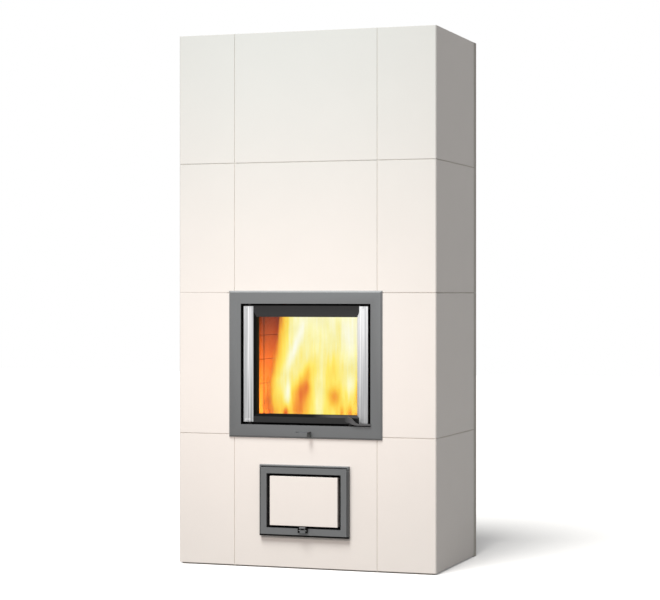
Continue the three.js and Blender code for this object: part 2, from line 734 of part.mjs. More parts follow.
addPiece(fireDoor, 'door_leaf', leafPaint, combine(
  [frameRing(leafX, leafZ, leafHoleX, leafHoleZ, leafY)],
  [
    taperedBlock(chamferX, chamferZ, leafHoleX, leafHoleZ,
      [leafY[0] - through, leafY[0] + leafChamferDepth]),
    boxGeometry(rebateX, [rebateY[0], rebateY[1] + through], rebateZ),
    cylinderAlong('z', hingePinRadius + pinClearance,
      [leafZ[0] - through, leafZ[0] + hingePinReach + through], doorAxis),
    cylinderAlong('z', hingePinRadius + pinClearance,
      [leafZ[1] - hingePinReach - through, leafZ[1] + through], doorAxis),
    cylinderAlong('y', leverShaftRadius + pinClearance, [leafY[0] - through, camY[1]], latchAt),
    boxGeometry(camSlotX, grow(camY, touch), [leafZ[0] - through, camSlotTopZ]),
  ],
));
addPiece(fireDoor, 'glass_gasket', sealRope, frameRing(paneX, paneZ, leafHoleX, leafHoleZ, gasketY));
addBlock(fireDoor, 'door_glass', clearGlass, paneX, glassY, paneZ);
addPiece(fireDoor, 'glass_retainer', castIron,
  frameRing(paneX, paneZ, leafHoleX, leafHoleZ, retainerY));

const sealOuterX = grow(leafX, -doorSealInset);
const sealOuterZ = [leafZ[0] + doorSealBottomInset, leafZ[1] - doorSealTopInset];
addPiece(fireDoor, 'door_seal', sealRope, frameRing(
  sealOuterX, sealOuterZ, grow(sealOuterX, -doorSealWidth), grow(sealOuterZ, -doorSealWidth),
  [leafY[1] + touch, leafY[1] + touch + doorSealThickness],
));

// Canted strips beside the glass: high at the leaf's edge, low towards the glass, with a flat band
// along each edge and a cap at each end. Between the caps the canted middle lies behind the bands.
const stripOuter = leafX[1];
const stripInner = stripOuter - stripWidth;
const stripHigh = leafY[0] - stripRise;
const stripLow = leafY[0] - stripInnerRise;

function stripPlan(side, middle) {
  return outline([
    [stripOuter, leafY[0] - touch],
    [stripOuter, stripHigh + stripNose],
    [stripOuter - stripNose, stripHigh],
    [stripOuter - stripLip, stripHigh],
    ...middle,
    [stripInner + stripLip, stripLow],
    [stripInner, stripLow],
    [stripInner, leafY[0] - touch],
  ].map(([x, y]) => [side * x, y]));
}

const stripZ = grow(leafZ, -stripEndGap);
const recessedMiddle = [
  [stripOuter - stripLip, stripHigh + stripLipRise],
  [stripInner + stripLip, stripLow + stripLipRise],
];
for (const [name, side] of [['left', -1], ['right', 1]]) {
  addPiece(fireDoor, `handle_strip_${name}`, brushedSteel, combine([
    planExtrude(stripPlan(side, recessedMiddle), stripZ),
    planExtrude(stripPlan(side, []), [stripZ[0], stripZ[0] + stripCapHeight]),
    planExtrude(stripPlan(side, []), [stripZ[1] - stripCapHeight, stripZ[1]]),
  ]));
}

// Latch lever: hub, curved arm, shaft through the leaf's bottom rail and a cam on its end.
function leverArm() {
  const [px, pz] = latchAt;
  const endX = px + leverReach;
  const endZ = pz - leverDrop;
  const half = leverArmWidth / 2;
  const bendX = px + leverBend;
  const underX = bendX - leverUnderInset;
  const shape = new THREE.Shape();
  shape.moveTo(px, pz + leverHubRadius);
  shape.bezierCurveTo(
    px + leverTopHold, pz + leverHubRadius, bendX - leverBendEase, endZ + half, bendX, endZ + half,
  );
  shape.lineTo(endX, endZ + half);
  shape.absarc(endX, endZ, half, Math.PI / 2, -Math.PI / 2, true);
  shape.lineTo(underX, endZ - half);
  shape.bezierCurveTo(
    underX - leverBendEase, endZ - half, px + leverUnderHold, pz - leverHubRadius, px, pz - leverHubRadius,
  );
  shape.absarc(px, pz, leverHubRadius, -Math.PI / 2, Math.PI / 2, true);
  return shape;
}

const leverY = [-frameProud - leverStandOff - leverThickness, -frameProud - leverStandOff];
addPiece(fireDoor, 'latch_lever', leafPaint, combine([
  frontExtrude(leverArm(), leverY),
  cylinderAlong('y', leverShaftRadius, [leverY[0] + leverShaftHead, camY[1]], latchAt),
  boxGeometry(
    grow([latchAt[0], latchAt[0]], latchCamWidth / 2), camY,
    [latchAt[1] - camReach, latchAt[1] + latchCamWidth / 2],
  ),
]));

// ---- ash hatch ----------------------------------------------------------------------------------

const ashHatch = new THREE.Group();
ashHatch.position.set(0, frontY, hatchBottomMargin);
stove.add(ashHatch);

const hatchAxis = [-hatchLeafProud + hatchAxisDepth, hatchLeafZ[1] - hatchAxisDrop];
const hatchRimY = [-hatchRimProud, -touch];
const hatchTubeY = [hatchLedgeY[0], coreFrontDepth - touch];

addPiece(ashHatch, 'hatch_frame', framePaint, combine(
  [
    bevelledFlange(hatchFrameX, hatchFrameZ, hatchRimY, hatchRimBevel, hatchRimBevel),
    boxGeometry(hatchTubeX, hatchTubeY, hatchTubeZ),
  ],
  [
    boxGeometry(hatchRimX, [hatchRimY[0] - through, hatchLedgeY[0]], hatchRimZ),
    boxGeometry(hatchClearX, [hatchRimY[0], hatchTubeY[1] + through], hatchClearZ),
    cylinderAlong('x', hatchPinRadius + pinClearance,
      grow(hatchFrameX, through), hatchAxis, thinPinSegments),
  ],
));

for (const [name, side] of [['left', -1], ['right', 1]]) {
  const x = [side * (hatchFrameX[1] - hatchPinInset), side * (hatchLeafX[1] - hatchPinReach)];
  addPiece(ashHatch, `hatch_pin_${name}`, galvanised,
    cylinderAlong('x', hatchPinRadius, x.sort((a, b) => a - b), hatchAxis, thinPinSegments));
}

// Leaf: a flat plate with a tray behind it that takes the tile insert.
const hatchPlateY = [-hatchLeafProud, -hatchLeafProud + hatchPlateThickness];
const trayY = [hatchPlateY[0], -hatchLeafProud + hatchTrayDepth];
const pinHoleReach = hatchPinReach + through;
addPiece(ashHatch, 'hatch_leaf', framePaint, combine(
  [
    boxGeometry(hatchLeafX, hatchPlateY, hatchLeafZ),
    boxGeometry(grow(hatchPocketX, hatchTrayWall), trayY, grow(hatchPocketZ, hatchTrayWall)),
  ],
  [
    boxGeometry(hatchPocketX, [hatchPlateY[0] - through, trayY[1] - hatchTrayWall], hatchPocketZ),
    cylinderAlong('x', hatchPinRadius + pinClearance,
      [hatchLeafX[0] - through, hatchLeafX[0] + pinHoleReach], hatchAxis, thinPinSegments),
    cylinderAlong('x', hatchPinRadius + pinClearance,
      [hatchLeafX[1] - pinHoleReach, hatchLeafX[1] + through], hatchAxis, thinPinSegments),
  ],
));
addBlock(ashHatch, 'hatch_tile', glazedTile,
  grow(hatchPocketX, -hatchTileGapSide),
  [-hatchLeafProud + hatchTileRecess, trayY[1] - hatchTrayWall - touch],
  [hatchPocketZ[0] + hatchTileGapBottom, hatchPocketZ[1] - hatchTileGapTop]);

const hatchSealY = [hatchPlateY[1] + touch, hatchLedgeY[0] - touch];
const hatchSealInnerX = grow(hatchClearX, hatchSealInset);
const hatchSealInnerZ = grow(hatchClearZ, hatchSealInset);
addPiece(ashHatch, 'hatch_seal', sealRope, frameRing(
  grow(hatchSealInnerX, hatchSealWidth), grow(hatchSealInnerZ, hatchSealWidth),
  hatchSealInnerX, hatchSealInnerZ, hatchSealY,
));

// Catch: a bracket with two ears on the leaf's bottom rail and a thumb plate pivoting between them.
const catchZ = [hatchLeafZ[0] + catchRise, hatchLeafZ[0] + catchRise + catchHeight];
const catchX = centred(catchWidth / 2);
const catchBaseY = [hatchPlateY[0] - touch - catchBase, hatchPlateY[0] - touch];
const catchEarY = [catchBaseY[1] - catchEarDepth, catchBaseY[1]];
const catchAxis = [catchEarY[0] + catchPinInset, middle(catchZ)];
addPiece(ashHatch, 'catch_bracket', framePaint, combine(
  [
    boxGeometry(catchX, catchBaseY, catchZ),
    boxGeometry([catchX[0], catchX[0] + catchEar], catchEarY, catchZ),
    boxGeometry([catchX[1] - catchEar, catchX[1]], catchEarY, catchZ),
  ],
  [cylinderAlong('x', catchPinRadius + pinClearance, grow(catchX, through), catchAxis, thinPinSegments)],
));
const thumbX = grow(catchX, -catchEar - catchPlateSideGap);
const thumbY = grow([catchAxis[0], catchAxis[0]], catchPlateThickness / 2);
const thumbZ = [catchZ[0], catchZ[0] + catchPlateHeight];
const lipZ = [thumbZ[1] - catchLipHeight, thumbZ[1]];
addPiece(ashHatch, 'catch_thumb_plate', framePaint, combine(
  [
    boxGeometry(thumbX, thumbY, thumbZ),
    boxGeometry(centred(catchLipWidth / 2), [thumbY[0] - catchLipDepth, thumbY[1]], lipZ),
    cylinderAlong('x', catchPinRadius, grow(catchX, -touch), catchAxis, thinPinSegments),
  ],
  [
    boxGeometry(centred(catchWindowWidth / 2), grow(thumbY, through),
      [lipZ[0] - catchWindowHeight, lipZ[0]]),
  ],
));

// ---- ash pan ------------------------------------------------------------------------------------

const panX = grow(hatchClearX, -panSideClearance);
const panY = [coreFrontY + panFrontRoom, ashBackY - panDepthClearance];
const panZ = [ashFloorZ, ashFloorZ + panHeight];
const gripZ = [panZ[1] - panGripHeight, panZ[1] - panGripHeight + panWall];
addPiece(core, 'ash_pan', galvanised, combine(
  [
    boxGeometry(panX, panY, panZ),
    boxGeometry(centred(panGripWidth / 2), [panY[0] - panGripReach, panY[0] + panWall], gripZ),
    boxGeometry(centred(panGripWidth / 2), [panY[0] - panGripReach, panY[0] - panGripReach + panWall],
      [gripZ[0], panZ[1]]),
  ],
  [boxGeometry(grow(panX, -panWall), grow(panY, -panWall), [panZ[0] + panWall, panZ[1] + through])],
));

export default stove;
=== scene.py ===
import json
import math
import random

import bmesh
import bpy
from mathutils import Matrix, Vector

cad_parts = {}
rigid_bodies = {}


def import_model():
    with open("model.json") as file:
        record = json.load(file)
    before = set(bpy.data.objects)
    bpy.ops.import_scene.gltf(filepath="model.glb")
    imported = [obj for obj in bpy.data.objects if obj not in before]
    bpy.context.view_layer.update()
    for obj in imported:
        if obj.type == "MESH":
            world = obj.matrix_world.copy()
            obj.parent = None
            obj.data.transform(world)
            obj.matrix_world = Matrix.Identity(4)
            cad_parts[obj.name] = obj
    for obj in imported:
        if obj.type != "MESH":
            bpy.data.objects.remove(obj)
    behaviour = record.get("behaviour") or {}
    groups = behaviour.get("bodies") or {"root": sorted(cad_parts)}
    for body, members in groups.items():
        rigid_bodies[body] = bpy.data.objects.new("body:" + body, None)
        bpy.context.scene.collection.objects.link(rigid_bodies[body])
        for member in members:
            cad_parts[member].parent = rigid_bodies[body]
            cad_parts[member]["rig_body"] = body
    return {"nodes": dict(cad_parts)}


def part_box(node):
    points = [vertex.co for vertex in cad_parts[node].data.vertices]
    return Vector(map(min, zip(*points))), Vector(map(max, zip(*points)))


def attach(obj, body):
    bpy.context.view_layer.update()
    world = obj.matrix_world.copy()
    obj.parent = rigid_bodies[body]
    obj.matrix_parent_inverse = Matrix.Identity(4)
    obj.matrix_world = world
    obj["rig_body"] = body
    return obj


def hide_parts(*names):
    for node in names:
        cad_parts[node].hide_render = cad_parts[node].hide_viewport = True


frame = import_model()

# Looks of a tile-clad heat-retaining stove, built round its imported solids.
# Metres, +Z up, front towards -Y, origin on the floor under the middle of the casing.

NODES = frame["nodes"]
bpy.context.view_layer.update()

# ---- camera ------------------------------------------------------------------------------------

PHOTO_WIDTH = 660
PHOTO_HEIGHT = 600
FOCAL_PIXELS = 1998.7
HORIZON_PIXEL = 292.75
SENSOR = 36.0
CAMERA_AT = (2.0612, -6.0467, 0.852)
CAMERA_TURN = math.radians(18.82)


def build_camera():
    data = bpy.data.cameras.new("camera")
    data.sensor_width = SENSOR
    data.lens = FOCAL_PIXELS / PHOTO_WIDTH * SENSOR
    data.shift_y = (HORIZON_PIXEL - PHOTO_HEIGHT / 2) / PHOTO_WIDTH
    camera = bpy.data.objects.new("camera", data)
    camera.location = CAMERA_AT
    camera.rotation_euler = (math.pi / 2, 0, CAMERA_TURN)
    bpy.context.scene.collection.objects.link(camera)
    bpy.context.scene.camera = camera


build_camera()

# ---- materials ---------------------------------------------------------------------------------

BLACK = (0.0, 0.0, 0.0, 1.0)
DOOR_HEIGHTS = (0.46, 0.8)          # over which the fire door's painted light and shade and the firebox bricks' soot and painted glow change
PAINT_FLECK = 0.06
RIM_SLOPE = 0.7                     # upward share of a rim's normal
BRUSHED_ALONG_Z = (1.0, 1.0, 0.012)
BRICK_SEAM_Y = -0.0135              # between the front and rear slabs of the firebox's side walls
BRICK_SEAM_SOOT = (0.004, 0.013)    # from the seam: fully sooted up to the first, clean past the second
FLAME_LAYERS = ("edge", "rise", "warmth")
FLAME_GLOW = 1.12
FLAME_STREAK = 34.0                 # noise scale of its broad streaks


def srgb(red, green, blue):
    """A linear colour from 0 to 255 display values."""
    linear = []
    for value in (red, green, blue):
        share = value / 255
        linear.append(share / 12.92 if share <= 0.04045 else ((share + 0.055) / 1.055) ** 2.4)
    return (*linear, 1.0)


class Look:
    """A procedural material that starts from a Principled shader, with short calls for its nodes."""

    def __init__(self, name, **sockets):
        self.material = bpy.data.materials.new(name)
        self.material.use_nodes = True
        self.tree = self.material.node_tree
        self.shader = self.tree.nodes["Principled BSDF"]
        self.output = self.tree.nodes["Material Output"]
        for socket, value in sockets.items():
            self.shader.inputs[socket.replace("_", " ")].default_value = value
        places = self.node("ShaderNodeTexCoord")
        self.coordinates = places.outputs["Object"]
        self.normal = places.outputs["Normal"]

    def node(self, kind, settings=None, **sockets):
        made = self.tree.nodes.new(kind)
        for key, value in (settings or {}).items():
            setattr(made, key, value)
        for socket, value in sockets.items():
            target = made.inputs[socket.replace("_", " ")]
            if isinstance(value, bpy.types.NodeSocket):
                self.tree.links.new(value, target)
            else:
                target.default_value = value
        return made

    def set(self, socket, source):
        self.tree.links.new(source, self.shader.inputs[socket])

    def stretched(self, scale):
        return self.node("ShaderNodeMapping", Vector=self.coordinates, Scale=scale).outputs[0]

    def noise(self, scale, detail=2.0, vector=None, roughness=0.5):
        made = self.node("ShaderNodeTexNoise", Vector=vector or self.coordinates,
                         Scale=scale, Detail=detail, Roughness=roughness)
        return made.outputs["Fac"]

    def cells(self, scale, output="Distance", feature="F1"):
        made = self.node("ShaderNodeTexVoronoi", {"feature": feature},
                         Vector=self.coordinates, Scale=scale)
        return made.outputs[output]

    def maths(self, operation, first, second=0.0, clamp=False):
        made = self.node("ShaderNodeMath", {"operation": operation, "use_clamp": clamp})
        for socket, value in zip(made.inputs, (first, second)):
            if isinstance(value, bpy.types.NodeSocket):
                self.tree.links.new(value, socket)
            else:
                socket.default_value = value
        return made.outputs[0]

    def span(self, value, low, high, start=0.0, end=1.0, smooth=False):
        """Maps start..end of a value to low..high."""
        kind = "SMOOTHSTEP" if smooth else "LINEAR"
        made = self.node("ShaderNodeMapRange", {"interpolation_type": kind},
                         Value=value, From_Min=start, From_Max=end, To_Min=low, To_Max=high)
        return made.outputs["Result"]

    def ramp(self, value, stops):
        made = self.node("ShaderNodeValToRGB", Fac=value)
        elements = made.color_ramp.elements
        elements[0].position, elements[0].color = stops[0]
        elements[1].position, elements[1].color = stops[-1]
        for position, colour in stops[1:-1]:
            elements.new(position).color = colour
        return made.outputs["Color"]

    def bump(self, height, distance, strength=1.0, under=None):
        made = self.node("ShaderNodeBump", Height=height, Distance=distance, Strength=strength)
        if under:
            self.tree.links.new(under, made.inputs["Normal"])
        return made.outputs["Normal"]

    def scaled(self, colour, share):
        made = self.node("ShaderNodeVectorMath", {"operation": "SCALE"}, Vector=colour, Scale=share)
        return made.outputs["Vector"]

    def axis(self, name):
        return self.node("ShaderNodeSeparateXYZ", Vector=self.coordinates).outputs[name]

    def blend(self, share, first, second):
        """Puts a mix of two shaders in the Principled shader's place."""
        mix = self.node("ShaderNodeMixShader")
        for socket, source in zip(mix.inputs, (share, first.outputs[0], second.outputs[0])):
            self.tree.links.new(source, socket)
        self.tree.links.new(mix.outputs[0], self.output.inputs["Surface"])
        self.tree.nodes.remove(self.shader)


def shade(colour, share):
    return (colour[0] * share, colour[1] * share, colour[2] * share, 1.0)


def graded(look, colour, low, high, span, along="Z"):
    """Scales a colour from low to high over a span along an axis, which is height unless given."""
    return look.scaled(colour, look.span(look.axis(along), low, high, *span))


def tile_look():
    """Smooth, softly satin mineral tile with a faint mottle."""
    look = Look("tile", Specular_IOR_Level=0.4)
    colour = srgb(249, 244, 239)
    mottle = look.noise(7.0, 4.0)
    look.set("Base Color", look.ramp(mottle, [(0.3, shade(colour, 0.985)), (0.7, colour)]))
    look.set("Roughness", look.span(look.noise(160.0, 3.0), 0.46, 0.6))
    grain = look.bump(look.noise(900.0, 3.0), 0.00006)
    look.set("Normal", look.bump(look.noise(26.0, 2.0), 0.00012, under=grain))
    return look.material


def mortar_look():
    look = Look("mortar", Specular_IOR_Level=0.2)
    sand = look.noise(1400.0, 4.0)
    look.set("Base Color", look.ramp(sand, [(0.25, srgb(228, 222, 214)), (0.75, srgb(244, 239, 231))]))
    look.set("Roughness", look.span(sand, 0.85, 0.98))
    look.set("Normal", look.bump(sand, 0.0003))
    return look.material


def render_coat_look():
    """Plain trowelled slab, as at the back."""
    look = Look("render_coat", Specular_IOR_Level=0.25)
    sweep = look.noise(9.0, 5.0, look.stretched((1.0, 1.0, 0.35)))
    look.set("Base Color", look.ramp(sweep, [(0.3, srgb(214, 209, 201)), (0.7, srgb(230, 226, 219))]))
    grit = look.noise(420.0, 5.0, roughness=0.65)
    look.set("Roughness", look.span(grit, 0.75, 0.95))
    look.set("Normal", look.bump(grit, 0.0004, under=look.bump(sweep, 0.0012)))
    return look.material


def masonry_grain(look, grain, depth, blotches, blotch_share):
    """Sets a rough, slightly pitted surface, and gives its mix of blotch and speckle."""
    blotch = look.noise(blotches, 5.0)
    speckle = look.noise(grain, 4.0, roughness=0.7)
    look.set("Roughness", look.span(speckle, 0.82, 0.98))
    pits = look.span(look.cells(grain * 0.5), 0.0, 1.0, 0.0, 0.25, smooth=True)
    look.set("Normal", look.bump(speckle, depth, under=look.bump(pits, depth, 0.6)))
    broad = look.maths("MULTIPLY", blotch, blotch_share)
    fine = look.maths("MULTIPLY", speckle, 1 - blotch_share)
    return look.maths("ADD", broad, fine)


def stone_look(name, dark, light, grain=240.0, depth=0.0006):
    """Cast refractory or insulation, speckled."""
    look = Look(name, Specular_IOR_Level=0.2)
    mixed = masonry_grain(look, grain, depth, 18.0, 0.55)
    look.set("Base Color", look.ramp(mixed, [(0.35, dark), (0.65, light)]))
    return look.material


def brick_look():
    """Fire brick, sooted red-brown towards the top; the pale orange low down is partly brick burnt pale
    by the embers and partly their glow, painted in.
    """
    look = Look("fire_brick", Specular_IOR_Level=0.2)
    height = look.span(look.axis("Z"), 0.0, 1.0, *DOOR_HEIGHTS)
    soot_and_painted_glow = look.ramp(height, [
        (0.0, srgb(232, 160, 100)), (0.3, srgb(222, 146, 88)), (0.5, srgb(216, 124, 76)),
        (0.62, srgb(200, 108, 70)), (0.8, srgb(168, 84, 66)), (0.92, srgb(132, 62, 60)),
    ])
    mixed = masonry_grain(look, 320.0, 0.0006, 16.0, 0.6)
    mottled = look.scaled(soot_and_painted_glow, look.span(mixed, 0.86, 1.1, 0.35, 0.65))
    aside = look.maths("ABSOLUTE", look.maths("SUBTRACT", look.axis("Y"), BRICK_SEAM_Y))
    soot = look.span(aside, 0.6, 1.0, *BRICK_SEAM_SOOT, smooth=True)
    look.set("Base Color", look.scaled(mottled, soot))
    return look.material


def cast_iron_look():
    look = Look("cast_iron", Metallic=0.3, Specular_IOR_Level=0.4)
    cast = look.noise(520.0, 4.0)
    look.set("Base Color", look.ramp(cast, [(0.3, srgb(34, 34, 35)), (0.7, srgb(58, 57, 56))]))
    look.set("Roughness", look.span(look.noise(60.0, 3.0), 0.5, 0.75))
    look.set("Normal", look.bump(cast, 0.00025))
    return look.material


def paint_look(name, colour, roughness=(0.36, 0.5), painted_light_grade=(1.0, 1.0), span=DOOR_HEIGHTS, along="Z",
               painted_rim_light=(1.0, 1.0), metal=0.15, shine=0.45):
    """Satin heat-proof paint on steel, with fine fleck and a faint orange peel.

    The painted light grade scales its colour from the start to the end of the span, which lies along an
    axis: painted light and shade.
    The painted rim light scales it on rims that face down and on rims that face up: painted shade under
    them, a painted highlight on top.
    """
    look = Look(name, Metallic=metal, Specular_IOR_Level=shine)
    speck = look.noise(1500.0, 2.0)
    dark = shade(colour, 1 - PAINT_FLECK)
    light = shade(colour, 1 + PAINT_FLECK)
    flecked = look.ramp(speck, [(0.3, dark), (0.7, light)])
    upward = look.node("ShaderNodeSeparateXYZ", Vector=look.normal).outputs["Z"]
    rim_lit_colour = look.scaled(flecked, look.span(upward, *painted_rim_light, -RIM_SLOPE, RIM_SLOPE))
    look.set("Base Color", graded(look, rim_lit_colour, *painted_light_grade, span, along))
    look.set("Roughness", look.span(look.noise(45.0, 3.0), *roughness))
    peel = look.bump(look.noise(420.0, 2.0), 0.00005)
    look.set("Normal", look.bump(speck, 0.00002, under=peel))
    return look.material


def steel_look(name, painted_light_grade):
    """Stainless strip brushed along its length, with a painted reflection that makes it brighter towards
    its top.
    """
    look = Look(name, Metallic=1.0)
    lines = look.noise(1800.0, 3.0, look.stretched(BRUSHED_ALONG_Z))
    streaks = look.noise(210.0, 2.0, look.stretched(BRUSHED_ALONG_Z))
    brushed = look.ramp(streaks, [(0.34, srgb(164, 165, 167)), (0.66, srgb(214, 214, 215))])
    look.set("Base Color", graded(look, brushed, *painted_light_grade, DOOR_HEIGHTS))
    look.set("Roughness", look.span(lines, 0.3, 0.46))
    look.set("Normal", look.bump(lines, 0.00004))
    return look.material


def zinc_look():
    """Galvanised sheet with its crystal pattern."""
    look = Look("zinc", Metallic=0.9)
    crystals = look.cells(95.0, "Color")
    tone = look.node("ShaderNodeSeparateColor", Color=crystals).outputs[0]
    look.set("Base Color", look.ramp(tone, [(0.0, srgb(134, 138, 142)), (1.0, srgb(176, 179, 182))]))
    look.set("Roughness", look.span(tone, 0.34, 0.55))
    look.set("Normal", look.bump(look.noise(120.0, 3.0), 0.0001))
    return look.material


def rope_look():
    """Woven glass-fibre rope, dark with a few paler yarns."""
    look = Look("seal_rope", Specular_IOR_Level=0.1)
    yarn = look.noise(900.0, 3.0)
    look.set("Base Color", look.ramp(yarn, [(0.35, srgb(38, 36, 34)), (0.7, srgb(92, 88, 82))]))
    look.set("Roughness", look.span(yarn, 0.9, 1.0))
    look.set("Normal", look.bump(yarn, 0.0005))
    return look.material


def glass_look():
    """Clear ceramic pane: see-through, mirroring more at a slant, faintly sooted."""
    look = Look("clear_glass")
    soot = look.noise(14.0, 4.0)
    tint = look.ramp(soot, [(0.3, srgb(247, 247, 244)), (0.8, srgb(252, 253, 252))])
    clear = look.node("ShaderNodeBsdfTransparent", Color=tint)
    gloss = look.node("ShaderNodeBsdfGlossy", Roughness=look.span(soot, 0.02, 0.06))
    slant = look.node("ShaderNodeLayerWeight", Blend=0.5).outputs["Facing"]
    mirror = look.span(look.maths("POWER", slant, 5.0), 0.015, 0.9)
    look.blend(mirror, clear, gloss)
    return look.material


def flame_look():
    """Glowing gas: a vertex's warmth gives its colour, and it thins out at its edge and tip."""
    look = Look("flame")
    layers = [look.node("ShaderNodeAttribute", {"attribute_name": layer}) for layer in FLAME_LAYERS]
    edge, rise, warmth = [layer.outputs["Fac"] for layer in layers]
    lick = look.noise(FLAME_STREAK, 3.0, look.stretched((1.0, 0.6, 0.16)))
    fine = look.noise(FLAME_STREAK * 3.0, 2.0, look.stretched((1.0, 0.6, 0.1)))
    ragged = look.maths("ADD", edge, look.span(lick, -0.2, 0.2, 0.3, 0.7))
    body = look.span(ragged, 1.0, 0.0, 0.62, 1.1, smooth=True)
    height = look.maths("ADD", rise, look.span(fine, -0.18, 0.18))
    tip = look.span(height, 1.0, 0.0, 0.6, 1.0, smooth=True)
    alpha = look.maths("MULTIPLY", body, tip, clamp=True)
    heat = look.maths("ADD", warmth, look.span(lick, -0.07, 0.07, 0.3, 0.7))
    heat = look.maths("ADD", heat, look.span(fine, -0.05, 0.05, 0.3, 0.7))
    heat = look.maths("SUBTRACT", heat, look.maths("MULTIPLY", look.maths("MAXIMUM", ragged, 0.0), 0.55))
    colour = look.ramp(heat, [
        (0.0, srgb(178, 60, 26)), (0.16, srgb(228, 98, 34)), (0.32, srgb(246, 152, 46)),
        (0.48, srgb(255, 205, 66)), (0.62, srgb(255, 232, 104)), (0.78, srgb(251, 244, 176)),
        (1.0, srgb(255, 254, 238)),
    ])
    glow = look.node("ShaderNodeEmission", Color=colour, Strength=FLAME_GLOW)
    look.blend(alpha, look.node("ShaderNodeBsdfTransparent"), glow)
    return look.material


def ember_look(name, coal, glow, crack_width, strength):
    """Charred wood or coal that glows in its cracks and hollows."""
    look = Look(name, Specular_IOR_Level=0.2, Emission_Strength=strength)
    crack = look.cells(70.0, "Distance", "DISTANCE_TO_EDGE")
    ash = look.noise(150.0, 5.0)
    look.set("Base Color", look.ramp(ash, [(0.4, coal), (0.75, srgb(150, 140, 130))]))
    open_cracks = look.span(crack, 1.0, 0.0, 0.0, crack_width)
    fanned = look.span(look.noise(22.0), 0.2, 1.0, 0.35, 0.6)
    heat = look.maths("MULTIPLY", open_cracks, fanned)
    glowing = look.ramp(heat, [(0.0, BLACK), (0.45, srgb(214, 66, 16)), (1.0, glow)])
    look.set("Emission Color", glowing)
    look.set("Roughness", look.span(ash, 0.8, 1.0))
    look.set("Normal", look.bump(ash, 0.002, under=look.bump(crack, 0.002)))
    return look.material


TILE = tile_look()
MORTAR = mortar_look()
RENDER_COAT = render_coat_look()
REFRACTORY = stone_look("refractory", srgb(186, 158, 134), srgb(216, 192, 168))
FIRE_BRICK = brick_look()
INSULATION = stone_look("insulation", srgb(222, 216, 204), srgb(240, 236, 226), 700.0, 0.0003)
CAST_IRON = cast_iron_look()
# The frame paint is darker low down and on rims that face down, and lighter higher up and on rims that
# face up: painted shade and painted highlight.
FRAME_PAINT = paint_look("frame_paint", srgb(114, 117, 119), painted_light_grade=(0.9, 1.08), painted_rim_light=(0.66, 1.34))
# Dark paint on the hatch frame's rim beside its leaf and on the left side of the hatch leaf's pocket:
# painted shade.
RIM_PAINTED_SHADE = paint_look("rim_painted_shade", srgb(72, 74, 75))
# The leaf paint is darker towards the bottom of the door: painted shade.
LEAF_PAINT = paint_look("leaf_paint", srgb(33, 33, 34), (0.3, 0.42), painted_light_grade=(0.4, 1.0))
# Matt black in the gaps round the fire door's leaf, on the leaf's sides, in the hatch pocket, under the
# hatch leaf and in the catch: painted shade.
PAINTED_SHADE_BLACK = paint_look("painted_shade_black", srgb(14, 14, 14), (0.7, 0.85), metal=0.0, shine=0.08)
STEEL_LEFT = steel_look("brushed_steel_left", (0.84, 1.34))
STEEL_RIGHT = steel_look("brushed_steel_right", (0.86, 1.52))
ZINC = zinc_look()
SEAL_ROPE = rope_look()
GLASS = glass_look()
FLAME = flame_look()
EMBERS = ember_look("embers", srgb(40, 26, 20), srgb(255, 190, 70), 0.35, 1.0)
CHARRED_WOOD = ember_look("charred_wood", srgb(58, 34, 22), srgb(255, 150, 40), 0.16, 0.9)

# ---- stage and light ---------------------------------------------------------------------------

AMBIENT = 0.26
FLOOR_REACH = 14.0
FLOOR_DROP = 0.0006
FLOOR_COLOUR = (0.98, 0.98, 0.98, 1.0)     # as the camera sees it under the lamps
FLOOR_GLOW = 0.15                           # lifts the shadow to its depth
FLOOR_BOUNCE = (0.19, 0.183, 0.177, 1.0)    # as it lights the object
KEY_STRENGTH = 2.7
KEY_ELEVATION = math.radians(63)
KEY_AZIMUTH = math.radians(9)               # to the left of straight in front
KEY_SPREAD = math.radians(24)
KEY_COLOUR = (1.0, 0.985, 0.955)
FRONT_LAMP_AT = (-0.1, -1.15, 0.68)
FRONT_LAMP_SIZE = (1.5, 0.3)
FRONT_LAMP_WATTS = 4.6
FRONT_LAMP_COLOUR = (1.0, 0.85, 0.8)
TOP_LAMP_AT = (-0.1, -1.35, 1.75)
TOP_LAMP_SIZE = (1.2, 0.4)
TOP_LAMP_WATTS = 3.3
TOP_LAMP_COLOUR = (0.62, 0.93, 1.0)
FIRE_LAMP_AT = (-0.07, -0.03, 0.5)
FIRE_LAMP_RADIUS = 0.05
FIRE_LAMP_WATTS = 4.1
FIRE_LAMP_COLOUR = (1.0, 0.64, 0.12)


def seen_share(nodes, links):
    """1 for camera, glossy and transmission rays, else 0."""
    path = nodes.new("ShaderNodeLightPath")
    last = path.outputs["Is Camera Ray"]
    for name in ("Is Glossy Ray", "Is Transmission Ray"):
        either = nodes.new("ShaderNodeMath")
        either.operation = "MAXIMUM"
        links.new(last, either.inputs[0])
        links.new(path.outputs[name], either.inputs[1])
        last = either.outputs[0]
    return last


def build_world():
    world = bpy.data.worlds.new("studio")
    world.use_nodes = True
    bpy.context.scene.world = world
    nodes, links = world.node_tree.nodes, world.node_tree.links
    strength = nodes.new("ShaderNodeMapRange")
    strength.inputs["To Min"].default_value = AMBIENT
    strength.inputs["To Max"].default_value = 1.0
    links.new(seen_share(nodes, links), strength.inputs["Value"])
    background = nodes["Background"]
    background.inputs["Color"].default_value = (1, 1, 1, 1)
    links.new(strength.outputs["Result"], background.inputs["Strength"])


